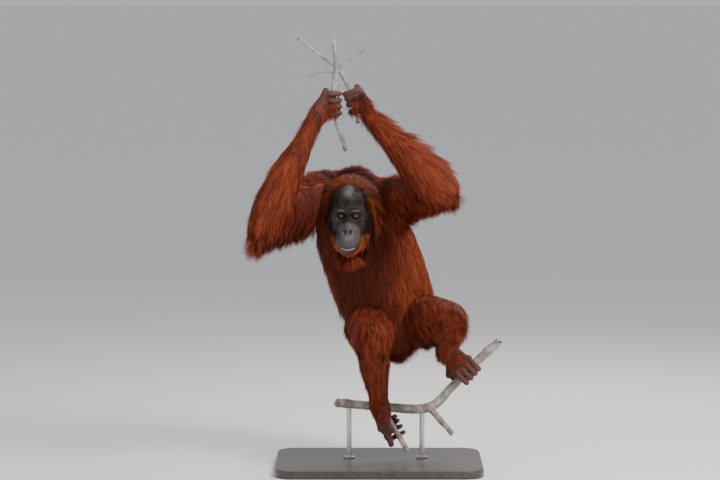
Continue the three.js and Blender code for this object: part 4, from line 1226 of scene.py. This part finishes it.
# The neck's tufts go with the trunk's, and each limb's go from the top down
tuftLimb = np.where(tufts["limb"] == limbNames.index("neck"), limbNames.index("trunk"), tufts["limb"])
for name in [name for name in limbNames if name != "neck"]:
    chosen = np.flatnonzero((tuftLimb == limbNames.index(name)) & ~headTuft)
    fromTop = chosen[np.argsort(-tufts["at"][chosen, 2], kind="stable")]
    coatPart(name, fromTop, lambda points: unwrapped(limbs[name], points))
coatPart("head", np.flatnonzero(headTuft), unwrappedHead)
print("coat:", pieceSizes)

# Eyes and nails
eyeSettings = {"irisWide": 6.4, "pupilWide": 2.9, "corneaLift": 0.9}
eyeTones = {
    "white": (0.050, 0.028, 0.020),
    "rim": (0.012, 0.006, 0.004),
    "iris": (0.085, 0.030, 0.011),
    "pupil": (0.004, 0.004, 0.004),
}
eyeFinish = Finish("eyes", eyeTones["iris"], 0.05, IOR=1.4, Coat_Weight=1.0, Coat_Roughness=0.02)
eyeFinish.set("Base Color", eyeFinish.painted("eyeTint"))
for side, name, node in ((-1, "eyeBallRight", "eye_right"), (1, "eyeBallLeft", "eye_left")):
    rise = np.linspace(0, math.pi, 66)[1:-1]
    angle = np.linspace(0, 2 * math.pi, 64, endpoint=False)
    bulge = headSettings["eyeRadius"] + eyeSettings["corneaLift"] * bell(np.degrees(rise), 0, 24)
    rows = []
    for r, b in zip(rise, bulge):
        girth = b * math.sin(r)
        rows.append(np.stack([girth * np.cos(angle), 0 * angle - b * math.cos(r), girth * np.sin(angle)], 1))
    centre = vec(side * headSettings["eyeApart"], headSettings["eyeCentre"], 0)
    points, faces = ringShell(rows, vec(0, -bulge[0], 0), vec(0, bulge[-1], 0))
    far = np.hypot(points[:, 0], points[:, 2]) + 40 * (points[:, 1] > 0)
    streaks = 0.5 + 0.5 * np.sin(np.arctan2(points[:, 2], points[:, 0]) * 23 + far * 2)
    shade = np.tile(np.array(eyeTones["white"]), (len(points), 1))
    irisWide, pupilWide = eyeSettings["irisWide"], eyeSettings["pupilWide"]
    for part, wide in (("rim", irisWide + 0.7), ("iris", irisWide - 0.5), ("pupil", pupilWide)):
        inside = smooth(wide + 0.35, wide - 0.35, far)[:, None]
        shade = shade + (np.array(eyeTones[part]) - shade) * inside
        if part == "iris":
            shade = shade * (1 + 0.5 * inside * (streaks[:, None] - 0.5))
    eyeball = meshObject(name, fromHead(points + centre), faces, eyeFinish.material)
    colourPoints(eyeball, "eyeTint", shade)
    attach(eyeball, "root")
    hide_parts(node)

nailFinish = Finish("nails", (0.026, 0.019, 0.017), 0.32, Coat_Weight=0.3)
nailPiece = meshObject("nails", *joined(nails), nailFinish.material)
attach(nailPiece, "root")
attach(apeSkin, "root")
fleshNodes = [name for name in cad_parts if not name.startswith(("stand_", "perch_", "eye_"))]
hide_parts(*fleshNodes)
print("eyes and nails; the skin stands for", len(fleshNodes), "nodes")

# The perch: bark with knots, joints and cut ends
barkSettings = {"knot": 2.2, "waver": 0.9, "ridge": 0.35}
barkFinish = Finish("bark", (0.33, 0.29, 0.25), 0.88)
patches = barkFinish.noise(34, 6, 0.62)
lichen = barkFinish.noise(90, 3, 0.5)
grain = barkFinish.noise(160, 8, 0.7, (1, 1, 0.35))
cracks = barkFinish.node(
    "ShaderNodeTexVoronoi",
    {"feature": "DISTANCE_TO_EDGE"},
    {"Vector": barkFinish.place((1, 1, 0.4)), "Scale": 130.0},
)
barkTones = (0.25, (0.11, 0.082, 0.062)), (0.5, (0.25, 0.215, 0.18)), (0.8, (0.36, 0.335, 0.30))
lichenTones = (0.3, (0.50, 0.48, 0.45)), (0.6, (0.40, 0.36, 0.32)), (0.85, (0.60, 0.58, 0.55))
bark, pale = barkFinish.ramp(grain, *barkTones), barkFinish.ramp(lichen, *lichenTones)
barkFinish.set("Base Color", barkFinish.blended(((patches - 0.46) * 7.0).clamped(), bark, pale))
barkFinish.bump(grain * 0.6 + (cracks * 6.0).clamped() * 0.4, 0.75, 0.0016)


def barkRipple(seed, knots):
    # Slow waver, fine ridges and a few knots round a stem
    chance = np.random.default_rng(seed)
    phases = chance.random(8) * 2 * math.pi
    places = chance.random(knots) * 0.9 + 0.05
    turns = chance.random(knots) * 2 * math.pi

    def ripple(t, angle):
        wave = 0.5 * np.sin(2 * angle + phases[0] + 9 * t) + 0.5 * np.sin(14 * t + phases[1]) - 0.4
        ridge = np.sin(9 * angle + phases[2] + 2.2 * np.sin(17 * t + phases[3]))
        out = barkSettings["waver"] * wave + barkSettings["ridge"] * ridge
        for place, turn in zip(places, turns):
            near = np.maximum(np.cos(angle - turn), 0)
            out = out + barkSettings["knot"] * bell(t, place, 0.018) * (0.45 + 0.55 * near**2)
        return out

    return ripple


def perchPiece(name, node, firstSeed, *stems):
    # One piece from several stems, each given as (line, rings, sides, knots)
    parts = [
        line.shell(rings, sides, depth=-0.4, dome=0.15, ripple=barkRipple(firstSeed + i, knots))
        for i, (line, rings, sides, knots) in enumerate(stems)
    ]
    made = meshObject(name, *joined(parts), barkFinish.material)
    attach(made, "root")
    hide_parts(node)


perchPiece(
    "stemBark", "perch_stem", 1, (stemRight, 260, 28, 7), (stemLeft, 130, 26, 4),
    (twigs[0], 110, 20, 4), (twigs[1], 60, 12, 3), (twigs[2], 60, 16, 3),
)
perchPiece(
    "branchBark", "perch_branch", 6,
    (branchMain, 420, 36, 8), (branchLower, 130, 26, 2), (branchStub, 110, 26, 2),
)

# The stand: the solids' own base and rods, with collars and screws
standFinish = Finish("standBase", (0.045, 0.038, 0.034), 0.42, Coat_Weight=0.35, Coat_Roughness=0.25)
standGrain = standFinish.noise(55, 6, 0.6, (1, 7, 1))
standTones = (0.3, (0.030, 0.023, 0.019)), (0.7, (0.068, 0.052, 0.042))
standFinish.set("Base Color", standFinish.ramp(standGrain, *standTones))
standFinish.set("Roughness", 0.34 + 0.2 * standGrain)
rodFinish = Finish("brushedSteel", (0.52, 0.52, 0.53), 0.28, Metallic=1.0)
rodFinish.set("Roughness", 0.2 + 0.18 * rodFinish.noise(240, 3, 0.5, (6, 6, 0.3)))
for name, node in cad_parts.items():
    if name.startswith("stand_"):
        node.data.materials.clear()
        node.data.materials.append((standFinish if name == "stand_base" else rodFinish).material)

collarSettings = {"radius": 17.0, "tall": 7.0, "screws": 4, "screwRing": 12.4, "screwRadius": 2.1}


def collarTree():
    # A ring of screw heads: named sizes in, plain mesh out
    tree = bpy.data.node_groups.new("screwRing", "GeometryNodeTree")
    for name, kind, value in (
        ("Screws", "NodeSocketInt", collarSettings["screws"]),
        ("Ring radius", "NodeSocketFloat", collarSettings["screwRing"] * metre),
        ("Head radius", "NodeSocketFloat", collarSettings["screwRadius"] * metre),
    ):
        tree.interface.new_socket(name, in_out="INPUT", socket_type=kind).default_value = value
    tree.interface.new_socket("Finish", in_out="INPUT", socket_type="NodeSocketMaterial")
    tree.interface.new_socket("Screw heads", in_out="OUTPUT", socket_type="NodeSocketGeometry")
    given, result = tree.nodes.new("NodeGroupInput"), tree.nodes.new("NodeGroupOutput")
    kinds = ("MeshCircle", "MeshUVSphere", "Transform", "InstanceOnPoints", "RealizeInstances", "SetMaterial")
    ring, screw, dome, place, real, paint = (tree.nodes.new("GeometryNode" + kind) for kind in kinds)
    screw.inputs["Segments"].default_value = 14
    screw.inputs["Rings"].default_value = 8
    dome.inputs["Scale"].default_value = (1.0, 1.0, 0.55)
    for start, end in (
        (given.outputs["Screws"], ring.inputs["Vertices"]),
        (given.outputs["Ring radius"], ring.inputs["Radius"]),
        (given.outputs["Head radius"], screw.inputs["Radius"]),
        (screw.outputs["Mesh"], dome.inputs["Geometry"]),
        (ring.outputs["Mesh"], place.inputs["Points"]),
        (dome.outputs["Geometry"], place.inputs["Instance"]),
        (place.outputs["Instances"], real.inputs["Geometry"]),
        (real.outputs["Geometry"], paint.inputs["Geometry"]),
        (given.outputs["Finish"], paint.inputs["Material"]),
        (paint.outputs["Geometry"], result.inputs["Screw heads"]),
    ):
        tree.links.new(start, end)
    return tree


screwTree = collarTree()
radius, tall = collarSettings["radius"], collarSettings["tall"]
angle = np.linspace(0, 2 * math.pi, 56, endpoint=False)
ways = np.stack([np.cos(angle), np.sin(angle), 0 * angle], 1)
outline = [(0.86, 0.2), (1.0, 1.4), (1.0, 0.72 * tall), (0.88, tall), (0.52, tall)]
for name in ("stand_rod_right", "stand_rod_left"):
    low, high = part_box(name)
    side = name.split("_")[-1].title()
    rodFoot = vec((low.x + high.x) / 2, (low.y + high.y) / 2, low.z) / metre
    rows = [rodFoot + radius * share * ways + up * height for share, height in outline]
    collarShell = ringShell(rows, rodFoot + up * 0.2, rodFoot + up * tall)
    collar = meshObject("collar" + side, *collarShell, rodFinish.material)
    collar.data.shade_flat()
    screws = bpy.data.objects.new("screws" + side, bpy.data.meshes.new("screws"))
    bpy.context.scene.collection.objects.link(screws)
    rings = screws.modifiers.new("screws", "NODES")
    rings.node_group = screwTree
    finishSocket = next(s for s in screwTree.interface.items_tree if s.name == "Finish")
    rings[finishSocket.identifier] = rodFinish.material
    screws = evaluated(screws, screws.name)
    screws.data.transform(Matrix.Translation(Vector((rodFoot + up * (tall - 0.2)) * metre)))
    for piece in (collar, screws):
        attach(piece, "root")
print("perch and stand")

# Floor, light and camera
stageSettings = {
    "floorWide": 150.0,
    "pale": (0.86, 0.86, 0.85),
    "roomTone": (0.93, 0.95, 1.0, 1.0),
    "roomLight": 0.56,
    "lit": (-0.03, 0.0, 0.65),
}
stageFinish = Finish("palePaper", stageSettings["pale"], 0.9)
wide = stageSettings["floorWide"]
sheet = [(-wide, -wide, 0), (wide, -wide, 0), (wide, wide, 0), (-wide, wide, 0)]
floor = meshObject("floor", sheet, [(0, 1, 2, 3)], stageFinish.material, scale=1.0)
floor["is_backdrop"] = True


def softLight(name, place, size, power, colour):
    lamp = bpy.data.lights.new(name, "AREA")
    lamp.shape, lamp.size, lamp.energy, lamp.color = "DISK", size, power, colour
    made = bpy.data.objects.new(name, lamp)
    made.location = place
    towards = Vector(stageSettings["lit"]) - Vector(place)
    made.rotation_euler = towards.to_track_quat("-Z", "Y").to_euler()
    bpy.context.scene.collection.objects.link(made)


softLight("keyLight", (1.5, -1.7, 2.6), 1.1, 95, (1.0, 0.97, 0.93))
softLight("fillLight", (-2.4, -2.2, 1.3), 2.2, 26, (0.94, 0.97, 1.0))
softLight("rimLight", (0.9, 1.8, 2.4), 1.2, 44, (1.0, 0.96, 0.9))
world = bpy.data.worlds.new("paleRoom")
bpy.context.scene.world = world
world.use_nodes = True
background = world.node_tree.nodes["Background"].inputs
background["Color"].default_value = stageSettings["roomTone"]
background["Strength"].default_value = stageSettings["roomLight"]

cameraSettings = {
    "target": (-0.057, 0.010, 0.687),
    "distance": 9.0,
    "elevation": 5.0,
    "lens": 150.0,
    "sensor": 36.0,
    "farthest": 400.0,
}
camera = bpy.data.objects.new("camera", bpy.data.cameras.new("camera"))
bpy.context.scene.collection.objects.link(camera)
camera.data.lens = cameraSettings["lens"]
camera.data.sensor_width = cameraSettings["sensor"]
camera.data.clip_end = cameraSettings["farthest"]
lift = math.radians(cameraSettings["elevation"])
target = Vector(cameraSettings["target"])
camera.location = target + cameraSettings["distance"] * Vector((0, -math.cos(lift), math.sin(lift)))
camera.rotation_euler = (target - camera.location).to_track_quat("-Z", "Y").to_euler()
bpy.context.scene.camera = camera

low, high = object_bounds()
